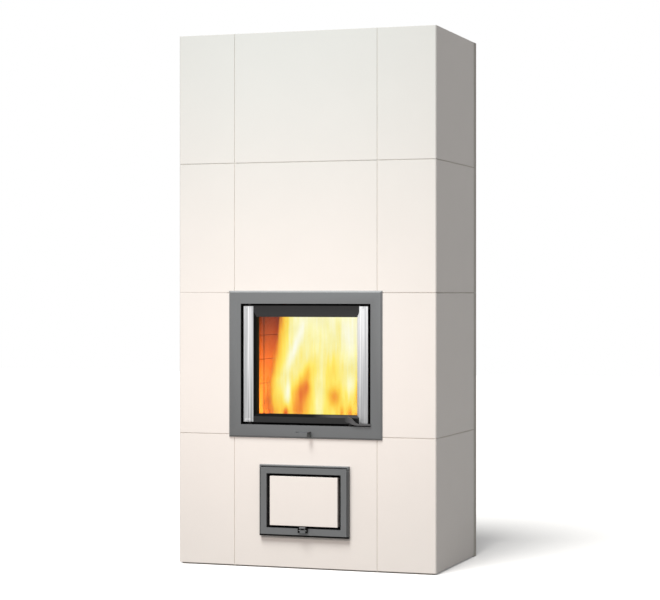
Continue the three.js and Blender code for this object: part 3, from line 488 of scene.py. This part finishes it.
def build_floor():
    material = bpy.data.materials.new("floor")
    material.use_nodes = True
    nodes, links = material.node_tree.nodes, material.node_tree.links
    nodes.remove(nodes["Principled BSDF"])
    seen = nodes.new("ShaderNodeBsdfDiffuse")
    seen.inputs["Color"].default_value = FLOOR_COLOUR
    glow = nodes.new("ShaderNodeEmission")
    glow.inputs["Strength"].default_value = FLOOR_GLOW
    both = nodes.new("ShaderNodeAddShader")
    links.new(seen.outputs[0], both.inputs[0])
    links.new(glow.outputs[0], both.inputs[1])
    bounce = nodes.new("ShaderNodeBsdfDiffuse")
    bounce.inputs["Color"].default_value = FLOOR_BOUNCE
    mix = nodes.new("ShaderNodeMixShader")
    links.new(seen_share(nodes, links), mix.inputs[0])
    links.new(bounce.outputs[0], mix.inputs[1])
    links.new(both.outputs[0], mix.inputs[2])
    links.new(mix.outputs[0], nodes["Material Output"].inputs["Surface"])
    bm = bmesh.new()
    bmesh.ops.create_grid(bm, x_segments=1, y_segments=1, size=FLOOR_REACH)
    mesh = bpy.data.meshes.new("floor")
    bm.to_mesh(mesh)
    bm.free()
    mesh.materials.append(material)
    floor = bpy.data.objects.new("floor", mesh)
    floor.location.z = -FLOOR_DROP
    bpy.context.scene.collection.objects.link(floor)


def add_lamp(name, kind, at, target, **settings):
    data = bpy.data.lights.new(name, kind)
    for key, value in settings.items():
        setattr(data, key, value)
    lamp = bpy.data.objects.new(name, data)
    lamp.location = at
    lamp.rotation_euler = (Vector(target) - Vector(at)).to_track_quat("-Z", "Y").to_euler()
    bpy.context.scene.collection.objects.link(lamp)
    return lamp


def add_strip_lamp(name, at, size, watts, colour):
    """A long soft lamp across the front, which metal and glass don't mirror."""
    lamp = add_lamp(name, "AREA", at, (at[0], 0, at[2]), energy=watts, shape="RECTANGLE",
                    size=size[0], size_y=size[1], color=colour)
    lamp.visible_glossy = False


def build_lights():
    flat = math.cos(KEY_ELEVATION)
    key_at = (-flat * math.sin(KEY_AZIMUTH), -flat * math.cos(KEY_AZIMUTH), math.sin(KEY_ELEVATION))
    add_lamp("key", "SUN", key_at, (0, 0, 0),
             energy=KEY_STRENGTH, angle=KEY_SPREAD, color=KEY_COLOUR)
    add_strip_lamp("front_lamp", FRONT_LAMP_AT, FRONT_LAMP_SIZE, FRONT_LAMP_WATTS, FRONT_LAMP_COLOUR)
    add_strip_lamp("top_lamp", TOP_LAMP_AT, TOP_LAMP_SIZE, TOP_LAMP_WATTS, TOP_LAMP_COLOUR)
    fire = add_lamp("fire_lamp", "POINT", FIRE_LAMP_AT, (0, 0, 0),
                    energy=FIRE_LAMP_WATTS, shadow_soft_size=FIRE_LAMP_RADIUS, color=FIRE_LAMP_COLOUR)
    fire.visible_glossy = False


build_world()
build_floor()
build_lights()

# ---- mesh helpers ------------------------------------------------------------------------------

WELD = 1e-6
FLAT_ANGLE = math.radians(0.5)
SMOOTH_ANGLE = math.radians(32)
CORNER_STEPS = 6                    # of a loop's rounded corner


def grow(span, by):
    return (span[0] - by, span[1] + by)


def middle(span):
    return (span[0] + span[1]) / 2


def node_spans(node):
    """A node's extents at rest as (x span, y span, z span)."""
    low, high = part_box(node)
    return (low.x, high.x), (low.y, high.y), (low.z, high.z)


def add_box(bm, x, y, z):
    corners = [bm.verts.new((a, b, c)) for a in x for b in y for c in z]
    for face in ((0, 1, 3, 2), (4, 6, 7, 5), (0, 4, 5, 1), (2, 3, 7, 6), (0, 2, 6, 4), (1, 5, 7, 3)):
        bm.faces.new([corners[i] for i in face])


def solid_of(node):
    """A bmesh of a CAD node's shape with its facets joined into flat faces."""
    bm = bmesh.new()
    bm.from_mesh(NODES[node].data)
    bmesh.ops.remove_doubles(bm, verts=bm.verts, dist=WELD)
    bmesh.ops.dissolve_limit(bm, angle_limit=FLAT_ANGLE, verts=bm.verts, edges=bm.edges)
    return bm


def make_piece(name, bm, looks, body, stands_for=(), arris=0.0, segments=2):
    """Turns a bmesh into a piece on a body, with its edges rounded by the arris."""
    bmesh.ops.recalc_face_normals(bm, faces=bm.faces)
    mesh = bpy.data.meshes.new(name)
    bm.to_mesh(mesh)
    bm.free()
    for look in looks:
        mesh.materials.append(look)
    mesh.shade_smooth()
    mesh.set_sharp_from_angle(angle=SMOOTH_ANGLE)
    piece = bpy.data.objects.new(name, mesh)
    bpy.context.scene.collection.objects.link(piece)
    if arris:
        bevel = piece.modifiers.new("arris", "BEVEL")
        bevel.width = arris
        bevel.segments = segments
        bevel.limit_method = "ANGLE"
        bevel.angle_limit = SMOOTH_ANGLE
        bevel.harden_normals = True
    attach(piece, body)
    if stands_for:
        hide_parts(*stands_for)
    return piece


def dress(node, looks, arris, segments=2, bm=None):
    """A finished piece in a CAD node's place: its own shape unless bm gives a finer one.

    looks is a material, or a list of the materials that bm's faces use.
    """
    materials = looks if isinstance(looks, list) else [looks]
    return make_piece(f"{node}_finished", bm or solid_of(node), materials,
                      NODES[node]["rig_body"], [node], arris, segments)


def tube_ring(bm, path, radius_at, sides):
    """Closed tube along a closed path in an XZ plane; radius_at(step, turn) gives its surface."""
    count = len(path)
    rings = []
    for step, point in enumerate(path):
        along = (path[(step + 1) % count] - path[step - 1]).normalized()
        outward = along.cross(Vector((0, 1, 0))).normalized()
        ring = []
        for side in range(sides):
            turn = 2 * math.pi * side / sides
            spoke = outward * math.cos(turn) + Vector((0, 1, 0)) * math.sin(turn)
            ring.append(bm.verts.new(point + spoke * radius_at(step, turn)))
        rings.append(ring)
    for step in range(count):
        here, there = rings[step], rings[(step + 1) % count]
        for side in range(sides):
            after = (side + 1) % sides
            bm.faces.new((here[side], here[after], there[after], there[side]))


def rounded_loop(x, z, y, corner, pitch):
    """Points evenly along a rounded rectangle in the XZ plane."""
    points = []
    corners = [(x[1], z[1], 0), (x[0], z[1], 90), (x[0], z[0], 180), (x[1], z[0], 270)]
    for cx, cz, start in corners:
        centre_x = cx - math.copysign(corner, cx - middle(x))
        centre_z = cz - math.copysign(corner, cz - middle(z))
        for part in range(CORNER_STEPS + 1):
            angle = math.radians(start + 90 / CORNER_STEPS * part)
            at_x = centre_x + corner * math.cos(angle)
            at_z = centre_z + corner * math.sin(angle)
            points.append(Vector((at_x, y, at_z)))
    even = []
    for here, there in zip(points, points[1:] + points[:1]):
        steps = max(1, round((there - here).length / pitch))
        for step in range(steps):
            even.append(here.lerp(there, step / steps))
    return even


def lathe(bm, profile, centre, segments):
    """A closed profile of (radius, y) turned round an axis along Y through centre (x, z)."""
    rings = []
    for radius, y in profile:
        ring = []
        for step in range(segments):
            turn = 2 * math.pi * step / segments
            at_x = centre[0] + radius * math.cos(turn)
            at_z = centre[1] + radius * math.sin(turn)
            ring.append(bm.verts.new((at_x, y, at_z)))
        rings.append(ring)
    for here, there in zip(rings, rings[1:] + rings[:1]):
        for step in range(segments):
            after = (step + 1) % segments
            bm.faces.new((here[step], here[after], there[after], there[step]))


# ---- casing ------------------------------------------------------------------------------------

TILE_ARRIS = 0.0007
SLAB_ARRIS = 0.0004


def build_casing():
    for node in sorted(NODES):
        if node.startswith("casing_"):
            dress(node, TILE, TILE_ARRIS)
        elif node.startswith("mortar_bed_"):
            NODES[node].data.materials.clear()
            NODES[node].data.materials.append(MORTAR)
        elif node.startswith("back_slab_"):
            dress(node, RENDER_COAT, SLAB_ARRIS)
    dress("cover_slab", TILE, TILE_ARRIS)
    dress("insulation_board", INSULATION, SLAB_ARRIS)


# ---- core --------------------------------------------------------------------------------------

BRICK_FOOT = 0.0335                 # by which the lowest course is taller than the others
BRICK_HEIGHT = 0.0777
BRICK_LENGTH = 0.19
BRICK_JOINT = 0.001
SHORTEST_END = 0.35                 # shortest last piece of a run, as a share of the pitch
BRICK_ARRIS = 0.0018
CORE_ARRIS = 0.0015
GRATE_ARRIS = 0.0012
PAN_ARRIS = 0.0006
COLLAR_RADIUS = 0.0748
COLLAR_BORE_RADIUS = 0.070
COLLAR_FLANGE_DEPTH = 0.004
COLLAR_RIM = 0.0012
COLLAR_SIDES = 96


def cut_evenly(span, pitch):
    """Cuts a span into lengths near the pitch, the last one as it falls, but no sliver."""
    cuts = [span[0]]
    while span[1] - cuts[-1] > pitch * (1 + SHORTEST_END):
        cuts.append(cuts[-1] + pitch)
    cuts.append(span[1])
    return list(zip(cuts, cuts[1:]))


def build_brick_wall(node):
    """Courses of fire bricks in a wall's place, every other course starting with half a brick."""
    spans = node_spans(node)
    run = 0 if spans[0][1] - spans[0][0] > spans[1][1] - spans[1][0] else 1
    start, stop = spans[run]
    bm = bmesh.new()
    courses = cut_evenly((spans[2][0] + BRICK_FOOT, spans[2][1]), BRICK_HEIGHT)
    courses[0] = (spans[2][0], courses[0][1])
    for course, (bottom, top) in enumerate(courses):
        lengths = cut_evenly((start, stop), BRICK_LENGTH)
        if course % 2 and len(lengths) > 1:
            half = start + BRICK_LENGTH / 2
            lengths = [(start, half), *cut_evenly((half, stop), BRICK_LENGTH)]
        for near, far in lengths:
            brick = list(spans)
            brick[run] = (near, far if far == stop else far - BRICK_JOINT)
            brick[2] = (bottom, top if top == spans[2][1] else top - BRICK_JOINT)
            add_box(bm, *brick)
    dress(node, FIRE_BRICK, BRICK_ARRIS, bm=bm)


def build_flue_collar():
    """A turned collar with a rolled rim in place of the faceted one."""
    x, y, z = node_spans("flue_collar")
    start, end = y
    flange_face = start + COLLAR_FLANGE_DEPTH
    tube, bore, rim = COLLAR_RADIUS, COLLAR_BORE_RADIUS, COLLAR_RIM
    flange = (x[1] - x[0]) / 2
    profile = [
        (bore, start), (flange, start), (flange, flange_face), (tube + rim, flange_face),
        (tube, flange_face + rim), (tube, end - rim), (tube - rim, end), (bore + rim, end),
        (bore, end - rim),
    ]
    bm = bmesh.new()
    lathe(bm, profile, (middle(x), middle(z)), COLLAR_SIDES)
    dress("flue_collar", CAST_IRON, 0.0, bm=bm)


def build_core():
    for node in sorted(NODES):
        if node.startswith("firebox_wall_"):
            build_brick_wall(node)
        elif node.startswith(("upper_wall_", "ash_wall_")):
            dress(node, REFRACTORY, CORE_ARRIS)
    for node in ("base_slab", "throat_slab", "cap_slab"):
        dress(node, REFRACTORY, CORE_ARRIS)
    for node in ("firebox_floor", "door_lintel"):
        dress(node, FIRE_BRICK, CORE_ARRIS)
    dress("grate", CAST_IRON, GRATE_ARRIS)
    dress("ash_pan", ZINC, PAN_ARRIS)
    build_flue_collar()


# ---- fire door ---------------------------------------------------------------------------------

ROPE_PITCH = 0.0016                 # between its cross-sections
ROPE_TWIST = 0.0075                 # length in which its strands turn once
ROPE_STRANDS = 3
ROPE_GROOVE = 0.06                  # depth between strands, as a share of the radius
ROPE_SIDES = 12
SEAL_CORNER = 0.012
SCREW_RADIUS = 0.0032
SCREW_TOP = 0.72                    # share of the radius at the head's top
SCREW_HEIGHT = 0.0018
SCREW_SIDES = 20
SCREW_INSET = 0.0045                # from the retainer's outer edge
SCREWS_PER_SIDE = 4
SCREW_ARRIS = 0.0003
PLATE_ARRIS = 0.0008
PANE_ARRIS = 0.0005
GASKET_ARRIS = 0.0002
SHEET_ARRIS = 0.0004
PIN_ARRIS = 0.0005
SLIDER_ARRIS = 0.0012
LEVER_ARRIS = 0.0014
HANDLED_SEGMENTS = 3                # of the rounding on what a hand touches
FACING = 0.9                        # a face turned this far to an axis faces it
TILTED = 0.3                        # a chamfer is turned at least this far to both its axes
DOOR_GAP_REACH = 0.011              # past the leaf, over the gap round it
FACE_SKIN = 0.001                   # what lies nearer a face than this belongs to it
KNOB_DROP = 0.016                   # air slider's knob, top to bottom
LEVER_HIGHLIGHT_RUN = 0.024                  # from the latch lever's left end to where its painted highlight is full
CHAMFER_HIGHLIGHT_SPAN = (0.02, 0.085)        # x where the painted highlight on the window's lower chamfer starts from black, and where it is full grey


def build_rope(node, corner):
    """A twisted rope in the place of a seal's flat ring."""
    x, y, z = node_spans(node)
    radius = (y[1] - y[0]) / 2
    path = rounded_loop(grow(x, -radius), grow(z, -radius), middle(y), corner, ROPE_PITCH)
    twist = 2 * math.pi * ROPE_PITCH / ROPE_TWIST

    def surface(step, turn):
        return radius * (1 - ROPE_GROOVE + ROPE_GROOVE * math.cos(ROPE_STRANDS * turn + step * twist))

    bm = bmesh.new()
    tube_ring(bm, path, surface, ROPE_SIDES)
    dress(node, SEAL_ROPE, 0.0, bm=bm)


def add_screw(bm, at):
    """A plain tapered head that stands on a face towards +Y."""
    head = bmesh.ops.create_cone(bm, cap_ends=True, segments=SCREW_SIDES, depth=SCREW_HEIGHT,
                                 radius1=SCREW_RADIUS, radius2=SCREW_RADIUS * SCREW_TOP)
    for vertex in head["verts"]:
        x, y, z = vertex.co
        vertex.co = (at[0] + x, at[1] + SCREW_HEIGHT / 2 + z, at[2] + y)


def build_retainer_screws():
    """Small screws that hold the glass retainer, on the leaf's inner side."""
    x, y, z = node_spans("glass_retainer")
    bm = bmesh.new()
    for step in range(SCREWS_PER_SIDE):
        share = (step + 0.5) / SCREWS_PER_SIDE
        for side, inset in enumerate((SCREW_INSET, -SCREW_INSET)):
            add_screw(bm, (x[side] + inset, y[1], z[0] + share * (z[1] - z[0])))
            add_screw(bm, (x[0] + share * (x[1] - x[0]), y[1], z[side] + inset))
    make_piece("retainer_screws", bm, [ZINC], "fire_door", arris=SCREW_ARRIS)


def build_door_frame():
    """The frame, with the sides and the rebate of its opening painted matt black as painted shade in the
    gap round the leaf.
    """
    bm = solid_of("door_frame")
    x, _, z = node_spans("door_leaf")
    front = node_spans("door_frame")[1][0]
    for face in bm.faces:
        centre = face.calc_center_median()
        in_x = x[0] - DOOR_GAP_REACH < centre.x < x[1] + DOOR_GAP_REACH
        in_z = z[0] - DOOR_GAP_REACH < centre.z < z[1] + DOOR_GAP_REACH
        if in_x and in_z and centre.y > front + FACE_SKIN:
            face.material_index = 1
    dress("door_frame", [FRAME_PAINT, PAINTED_SHADE_BLACK], PLATE_ARRIS, bm=bm)


def build_door_leaf():
    """The leaf, with its outer sides and its window's chamfer and sides painted matt black: painted
    shade.

    The lower chamfer has a grey painted highlight near the latch lever, and is bare steel beside the
    right strip.
    """
    bm = solid_of("door_leaf")
    outer_x, _, outer_z = node_spans("door_leaf")
    x, _, z = node_spans("door_glass")
    for face in bm.faces:
        centre = face.calc_center_median()
        in_window = x[0] < centre.x < x[1] and z[0] < centre.z < z[1]
        inner_x = outer_x[0] + FACE_SKIN < centre.x < outer_x[1] - FACE_SKIN
        inner_z = outer_z[0] + FACE_SKIN < centre.z < outer_z[1] - FACE_SKIN
        if abs(face.normal.y) < FACING and (in_window or not (inner_x and inner_z)):
            face.material_index = 1
            if face.normal.y < -TILTED and face.normal.z > TILTED:
                face.material_index = 2
            elif face.normal.y < -TILTED and face.normal.x < -TILTED:
                face.material_index = 3
    chamfer_highlight = paint_look("chamfer_highlight_paint", srgb(70, 70, 71), (0.6, 0.75), painted_light_grade=(0.04, 1.0),
                        span=CHAMFER_HIGHLIGHT_SPAN, along="X", metal=0.0, shine=0.08)
    dress("door_leaf", [LEAF_PAINT, PAINTED_SHADE_BLACK, chamfer_highlight, STEEL_RIGHT], PLATE_ARRIS, bm=bm)


def build_air_slider():
    """The slider, with painted shade darkest at its knob's top, and a galvanised plate."""
    bm = solid_of("air_slider")
    bottom = node_spans("air_slider")[2][0]
    front = node_spans("door_frame")[1][0]
    for face in bm.faces:
        if face.calc_center_median().y > front + FACE_SKIN:
            face.material_index = 1
    knob_painted_shade = paint_look("knob_painted_shade", srgb(66, 67, 66), painted_light_grade=(1.0, 0.1),
                            span=(bottom, bottom + KNOB_DROP))
    dress("air_slider", [knob_painted_shade, ZINC], SLIDER_ARRIS, HANDLED_SEGMENTS, bm)


def build_latch_lever():
    """The lever, with a painted highlight that makes it paler from its hub towards its arm."""
    left = node_spans("latch_lever")[0][0]
    paint = paint_look("lever_painted_highlight", srgb(84, 84, 86), (0.24, 0.36), painted_light_grade=(0.25, 1.0),
                       span=(left, left + LEVER_HIGHLIGHT_RUN), along="X")
    dress("latch_lever", paint, LEVER_ARRIS, HANDLED_SEGMENTS)


def build_fire_door():
    build_door_frame()
    build_door_leaf()
    dress("door_glass", GLASS, PANE_ARRIS)
    dress("glass_gasket", SEAL_ROPE, GASKET_ARRIS)
    dress("glass_retainer", CAST_IRON, SHEET_ARRIS)
    build_rope("door_seal", SEAL_CORNER)
    dress("handle_strip_left", STEEL_LEFT, SHEET_ARRIS)
    dress("handle_strip_right", STEEL_RIGHT, SHEET_ARRIS)
    build_latch_lever()
    build_air_slider()
    dress("hinge_pin_lower", CAST_IRON, PIN_ARRIS)
    dress("hinge_pin_upper", CAST_IRON, PIN_ARRIS)
    build_retainer_screws()


# ---- ash hatch ---------------------------------------------------------------------------------

HATCH_FRAME_ARRIS = 0.0006
HATCH_LEAF_ARRIS = 0.0009
HATCH_TILE_ARRIS = 0.0012
HATCH_PIN_ARRIS = 0.0003
THUMB_PLATE_ARRIS = 0.0005
HATCH_SEAL_CORNER = 0.006
HATCH_RIM_DEPTH = 0.0138            # of the frame's rim, from its front
HATCH_POCKET_REACH = 0.0115         # past the tile insert, over the gap round it
HATCH_POCKET_START = 0.002          # behind the leaf's face


def build_hatch_frame():
    """The frame, with its rim painted dark beside the leaf and black under it, as painted shade."""
    bm = solid_of("hatch_frame")
    x, _, z = node_spans("hatch_leaf")
    front = node_spans("hatch_frame")[1][0]
    cuts = [((at, 0, 0), (1, 0, 0)) for at in x]
    cuts += [((0, 0, at), (0, 0, 1)) for at in z]
    for at, normal in cuts:
        everything = bm.verts[:] + bm.edges[:] + bm.faces[:]
        bmesh.ops.bisect_plane(bm, geom=everything, dist=WELD, plane_co=at, plane_no=normal)
    for face in bm.faces:
        centre = face.calc_center_median()
        beside = centre.z < z[0] or (centre.z < z[1] and not x[0] < centre.x < x[1])
        if beside and centre.y < front + HATCH_RIM_DEPTH:
            face.material_index = 1 if centre.z < z[0] else 2
    dress("hatch_frame", [FRAME_PAINT, PAINTED_SHADE_BLACK, RIM_PAINTED_SHADE], HATCH_FRAME_ARRIS, bm=bm)


def build_hatch_leaf():
    """The leaf, with its pocket painted black and the pocket's left side dark, as painted shade."""
    bm = solid_of("hatch_leaf")
    y = node_spans("hatch_leaf")[1]
    tile_x, _, tile_z = node_spans("hatch_tile")
    x = grow(tile_x, HATCH_POCKET_REACH)
    z = grow(tile_z, HATCH_POCKET_REACH)
    for face in bm.faces:
        centre = face.calc_center_median()
        in_opening = x[0] < centre.x < x[1] and z[0] < centre.z < z[1]
        if in_opening and y[0] + HATCH_POCKET_START < centre.y < y[1] - FACE_SKIN:
            face.material_index = 2 if face.normal.x > FACING else 1
    dress("hatch_leaf", [FRAME_PAINT, PAINTED_SHADE_BLACK, RIM_PAINTED_SHADE], HATCH_LEAF_ARRIS, bm=bm)


def build_ash_hatch():
    build_hatch_frame()
    build_hatch_leaf()
    dress("hatch_tile", TILE, HATCH_TILE_ARRIS)
    build_rope("hatch_seal", HATCH_SEAL_CORNER)
    dress("hatch_pin_left", ZINC, HATCH_PIN_ARRIS)
    dress("hatch_pin_right", ZINC, HATCH_PIN_ARRIS)
    # The bracket is painted black as painted shade in the slots and window round the thumb plate.
    dress("catch_bracket", PAINTED_SHADE_BLACK, SHEET_ARRIS)
    dress("catch_thumb_plate", FRAME_PAINT, THUMB_PLATE_ARRIS)


# ---- fire --------------------------------------------------------------------------------------

FIRE_SEED = 11
FLAME_THICKNESS = 0.004             # at a sheet's middle
FLAME_RIM = 0.1                     # least thickness, as a share of that
FLAME_FRONT_Y = -0.05
FLAME_FRONT_GRID = (72, 64)
FLAME_LEFT = -0.2                   # where the front sheet bulges furthest to the left
FLAME_LEFT_AT = 0.57                # height of that bulge
FLAME_LEFT_SLOPES = (0.08, 0.23)    # inwards under it and over it
FLAME_RIGHT = 0.2
FLAME_SPAN = (0.452, 0.86)
FLAME_FRAY = 0.055                  # width of the ragged left edge
FLAME_FOOT_WARMTH = 0.61
FLAME_WARMTH_RISE = 0.72            # per metre of height
FLAME_REAR_X = (-0.2, 0.205)
FLAME_REAR_Y = 0.1
FLAME_REAR_WARMTH = 0.66
FLAME_REAR_GRID = (24, 20)
TONGUE_GRID = (12, 22)
# Hotter and cooler tongues in the front sheet: x and z of the centre, half width, half height, lean
# (x per height), change of warmth.
FLAME_LOBES = [
    (-0.100, 0.675, 0.014, 0.080, 0.40, 0.26),
    (-0.126, 0.535, 0.010, 0.040, 0.05, 0.30),
    (-0.056, 0.590, 0.022, 0.045, 0.30, -0.24),
    (-0.078, 0.530, 0.032, 0.038, 0.00, -0.36),
    (-0.056, 0.552, 0.014, 0.022, 0.00, -0.14),
    (-0.090, 0.475, 0.028, 0.034, 0.00, -0.32),
    (-0.020, 0.500, 0.018, 0.080, 0.00, 0.14),
    (0.032, 0.524, 0.021, 0.034, 0.00, -0.30),
    (0.028, 0.610, 0.022, 0.048, 0.00, -0.13),
    (0.084, 0.703, 0.028, 0.070, 0.00, 0.16),
    (0.084, 0.561, 0.013, 0.030, 0.00, 0.22),
    (0.113, 0.520, 0.010, 0.048, 0.00, -0.40),
    (-0.152, 0.500, 0.010, 0.040, 0.00, -0.08),
    (-0.172, 0.520, 0.032, 0.055, 0.00, 0.15),
    (-0.134, 0.464, 0.009, 0.026, 0.00, -0.50),
    (0.058, 0.470, 0.010, 0.024, 0.00, -0.20),
    (0.085, 0.468, 0.009, 0.024, 0.00, -0.30),
    (0.104, 0.458, 0.008, 0.016, 0.00, -0.30),
]
# Name, foot and tip (x, y, z), width, warmth, bend.
TONGUES = [
    ("flame_tongue_left", (-0.11, 0.0, 0.5), (-0.06, 0.01, 0.8), 0.06, 0.6, -0.02),
    ("flame_tongue_middle", (0.0, 0.03, 0.52), (0.02, 0.04, 0.84), 0.08, 0.7, 0.01),
    ("flame_tongue_right", (0.12, 0.0, 0.5), (0.11, 0.01, 0.8), 0.06, 0.66, 0.012),
]
# Name, start and end (x, y, z), radius, angle of the wedge, and where the wedge's middle points.
LOGS = [
    ("log_rear", (-0.15, 0.075, 0.49), (0.16, 0.09, 0.484), 0.05, 2.6, 1.5),
    ("log_left", (-0.15, -0.005, 0.478), (0.04, 0.055, 0.522), 0.042, 2.2, 1.7),
    ("log_right", (0.165, -0.01, 0.478), (-0.01, 0.04, 0.528), 0.04, 2.4, 1.4),
]
LOG_ARC_POINTS = 11
LOG_STATIONS = 9
LOG_CAMBER = 0.004
LOG_CORE_WANDER = 0.0015
LOG_BARK_WANDER = 0.05              # as a share of the radius
LOG_ARRIS = 0.002
COALS = 90
COAL_RADII = (0.007, 0.016)
COAL_DENT = 0.14
COAL_FLATNESS = 0.7
COAL_SINK = 0.75                    # height of a coal's middle, as a share of its radius
EMBER_SPREAD = (0.26, 0.22)         # of the heap in x and y, as shares of the grate
EMBER_HEAP = 0.006
EMBER_ROOM = 0.03                   # behind the front sheet of flame


def flame_sheet(name, at, state, across, up):
    """A closed thin sheet of flame: at(u, v) is its middle surface, state(u, v, point) its layers."""
    bm = bmesh.new()
    layers = [bm.verts.layers.float.new(layer) for layer in FLAME_LAYERS]
    sides = []
    for side in (-1, 1):
        rows = []
        for j in range(up + 1):
            row = []
            for i in range(across + 1):
                u, v = i / across, j / up
                swell = max(math.sin(math.pi * u) * math.sin(math.pi * v), FLAME_RIM)
                middle_point = at(u, v)
                vertex = bm.verts.new(middle_point + Vector((0, side * FLAME_THICKNESS / 2 * swell, 0)))
                for layer, value in zip(layers, state(u, v, middle_point)):
                    vertex[layer] = value
                row.append(vertex)
            rows.append(row)
        sides.append(rows)
    near, far = sides
    for j in range(up):
        for i in range(across):
            bm.faces.new((near[j][i], near[j][i + 1], near[j + 1][i + 1], near[j + 1][i]))
            bm.faces.new((far[j][i], far[j + 1][i], far[j + 1][i + 1], far[j][i + 1]))
    rim = [(near[0][i], far[0][i]) for i in range(across + 1)]
    rim += [(near[j][across], far[j][across]) for j in range(1, up + 1)]
    rim += [(near[up][i], far[up][i]) for i in range(across - 1, -1, -1)]
    rim += [(near[j][0], far[j][0]) for j in range(up - 1, 0, -1)]
    for (a, b), (c, d) in zip(rim, rim[1:] + rim[:1]):
        bm.faces.new((a, b, d, c))
    flame = make_piece(name, bm, [FLAME], "stove_body")
    flame.visible_shadow = False


def build_tongue(name, foot, tip, width, warmth, bend):
    """A tongue from foot to tip, each (x, y, z), widest a little under half way up."""
    foot, tip = Vector(foot), Vector(tip)

    def at(u, v):
        breadth = width * math.sqrt(max(1 - v, 0.0)) * (0.62 + 0.9 * v)
        sway = bend * math.sin(math.pi * v) + 0.006 * math.sin(9 * v + 40 * foot.x)
        ripple = 0.008 * math.sin(7 * v + 6 * u + 30 * foot.x)
        return foot.lerp(tip, v) + Vector(((u - 0.5) * breadth + sway, ripple, 0))

    def state(u, v, point):
        return abs(2 * u - 1), v, warmth

    flame_sheet(name, at, state, *TONGUE_GRID)


def lobe_warmth(point):
    """Warmth of the front sheet: paler towards its top, with its hotter and cooler tongues."""
    warmth = FLAME_FOOT_WARMTH + FLAME_WARMTH_RISE * (point.z - FLAME_SPAN[0])
    for x, z, half_width, half_height, lean, change in FLAME_LOBES:
        aside = (point.x - x - lean * (point.z - z)) / half_width
        above = (point.z - z) / half_height
        warmth += change * math.exp(-aside * aside - above * above)
    return warmth


def build_flame_front():
    """The broad body of the fire behind the glass, frayed along its left edge."""
    def left_at(z):
        below, above = FLAME_LEFT_SLOPES
        return FLAME_LEFT + max(below * (FLAME_LEFT_AT - z), above * (z - FLAME_LEFT_AT))

    def at(u, v):
        z = FLAME_SPAN[0] + (FLAME_SPAN[1] - FLAME_SPAN[0]) * v
        x = left_at(z) + (FLAME_RIGHT - left_at(z)) * u
        return Vector((x, FLAME_FRONT_Y + 0.006 * math.sin(9 * u + 4 * v), z))

    def state(u, v, point):
        edge = max(1 - (point.x - left_at(point.z)) / FLAME_FRAY, 0)
        return edge, 0.0, lobe_warmth(point)

    flame_sheet("flame_front", at, state, *FLAME_FRONT_GRID)


def build_flame_rear():
    """A second, calmer sheet towards the back wall."""
    left, right = FLAME_REAR_X

    def at(u, v):
        z = FLAME_SPAN[0] + (FLAME_SPAN[1] - FLAME_SPAN[0]) * v
        return Vector((left + (right - left) * u, FLAME_REAR_Y + 0.02 * math.sin(7 * u + 3 * v), z))

    def state(u, v, point):
        return abs(2 * u - 1) ** 3, 0.0, FLAME_REAR_WARMTH

    flame_sheet("flame_rear", at, state, *FLAME_REAR_GRID)


def build_log(name, start, end, radius, spread, turn, rng):
    """A split log: a wedge of a trunk, bark on its round side, running from start to end."""
    start, end = Vector(start), Vector(end)
    along = (end - start).normalized()
    side = along.cross(Vector((0, 0, 1))).normalized()
    up = side.cross(along).normalized()
    sections = []
    bm = bmesh.new()
    for station in range(LOG_STATIONS):
        share = station / (LOG_STATIONS - 1)
        centre = start.lerp(end, share) + up * LOG_CAMBER * math.sin(math.pi * share)
        core = centre + (side + up) * rng.uniform(-LOG_CORE_WANDER, LOG_CORE_WANDER)
        ring = [bm.verts.new(core)]
        for point in range(LOG_ARC_POINTS):
            angle = turn + spread * (point / (LOG_ARC_POINTS - 1) - 0.5)
            reach = radius * (1 + rng.uniform(-LOG_BARK_WANDER, LOG_BARK_WANDER))
            ring.append(bm.verts.new(centre + (side * math.cos(angle) + up * math.sin(angle)) * reach))
        sections.append(ring)
    for here, there in zip(sections, sections[1:]):
        for point in range(LOG_ARC_POINTS + 1):
            after = (point + 1) % (LOG_ARC_POINTS + 1)
            bm.faces.new((here[point], here[after], there[after], there[point]))
    bm.faces.new(sections[0][::-1])
    bm.faces.new(sections[-1])
    make_piece(name, bm, [CHARRED_WOOD], "stove_body", arris=LOG_ARRIS)


def build_ember_bed(rng):
    """Coals heaped on the grate."""
    x, y, z = node_spans("grate")
    spread_x, spread_y = EMBER_SPREAD
    bm = bmesh.new()
    for _ in range(COALS):
        reach = rng.uniform(*COAL_RADII)
        at = Vector((
            rng.gauss(middle(x), (x[1] - x[0]) * spread_x),
            max(rng.gauss(middle(y), (y[1] - y[0]) * spread_y), FLAME_FRONT_Y + EMBER_ROOM),
            z[1] + reach * COAL_SINK + abs(rng.gauss(0, EMBER_HEAP)),
        ))
        coal = bmesh.ops.create_icosphere(bm, subdivisions=2, radius=reach)
        for vertex in coal["verts"]:
            dent = 1 + rng.uniform(-COAL_DENT, COAL_DENT)
            point = vertex.co
            vertex.co = at + Vector((point.x * dent, point.y * dent, point.z * COAL_FLATNESS * dent))
    make_piece("ember_bed", bm, [EMBERS], "stove_body")


def build_fire():
    rng = random.Random(FIRE_SEED)
    build_ember_bed(rng)
    for log in LOGS:
        build_log(*log, rng)
    build_flame_rear()
    build_flame_front()
    for tongue in TONGUES:
        build_tongue(*tongue)


build_casing()
build_core()
build_fire_door()
build_ash_hatch()
build_fire()

# ---- finish ------------------------------------------------------------------------------------

bpy.context.scene.view_settings.view_transform = "Standard"
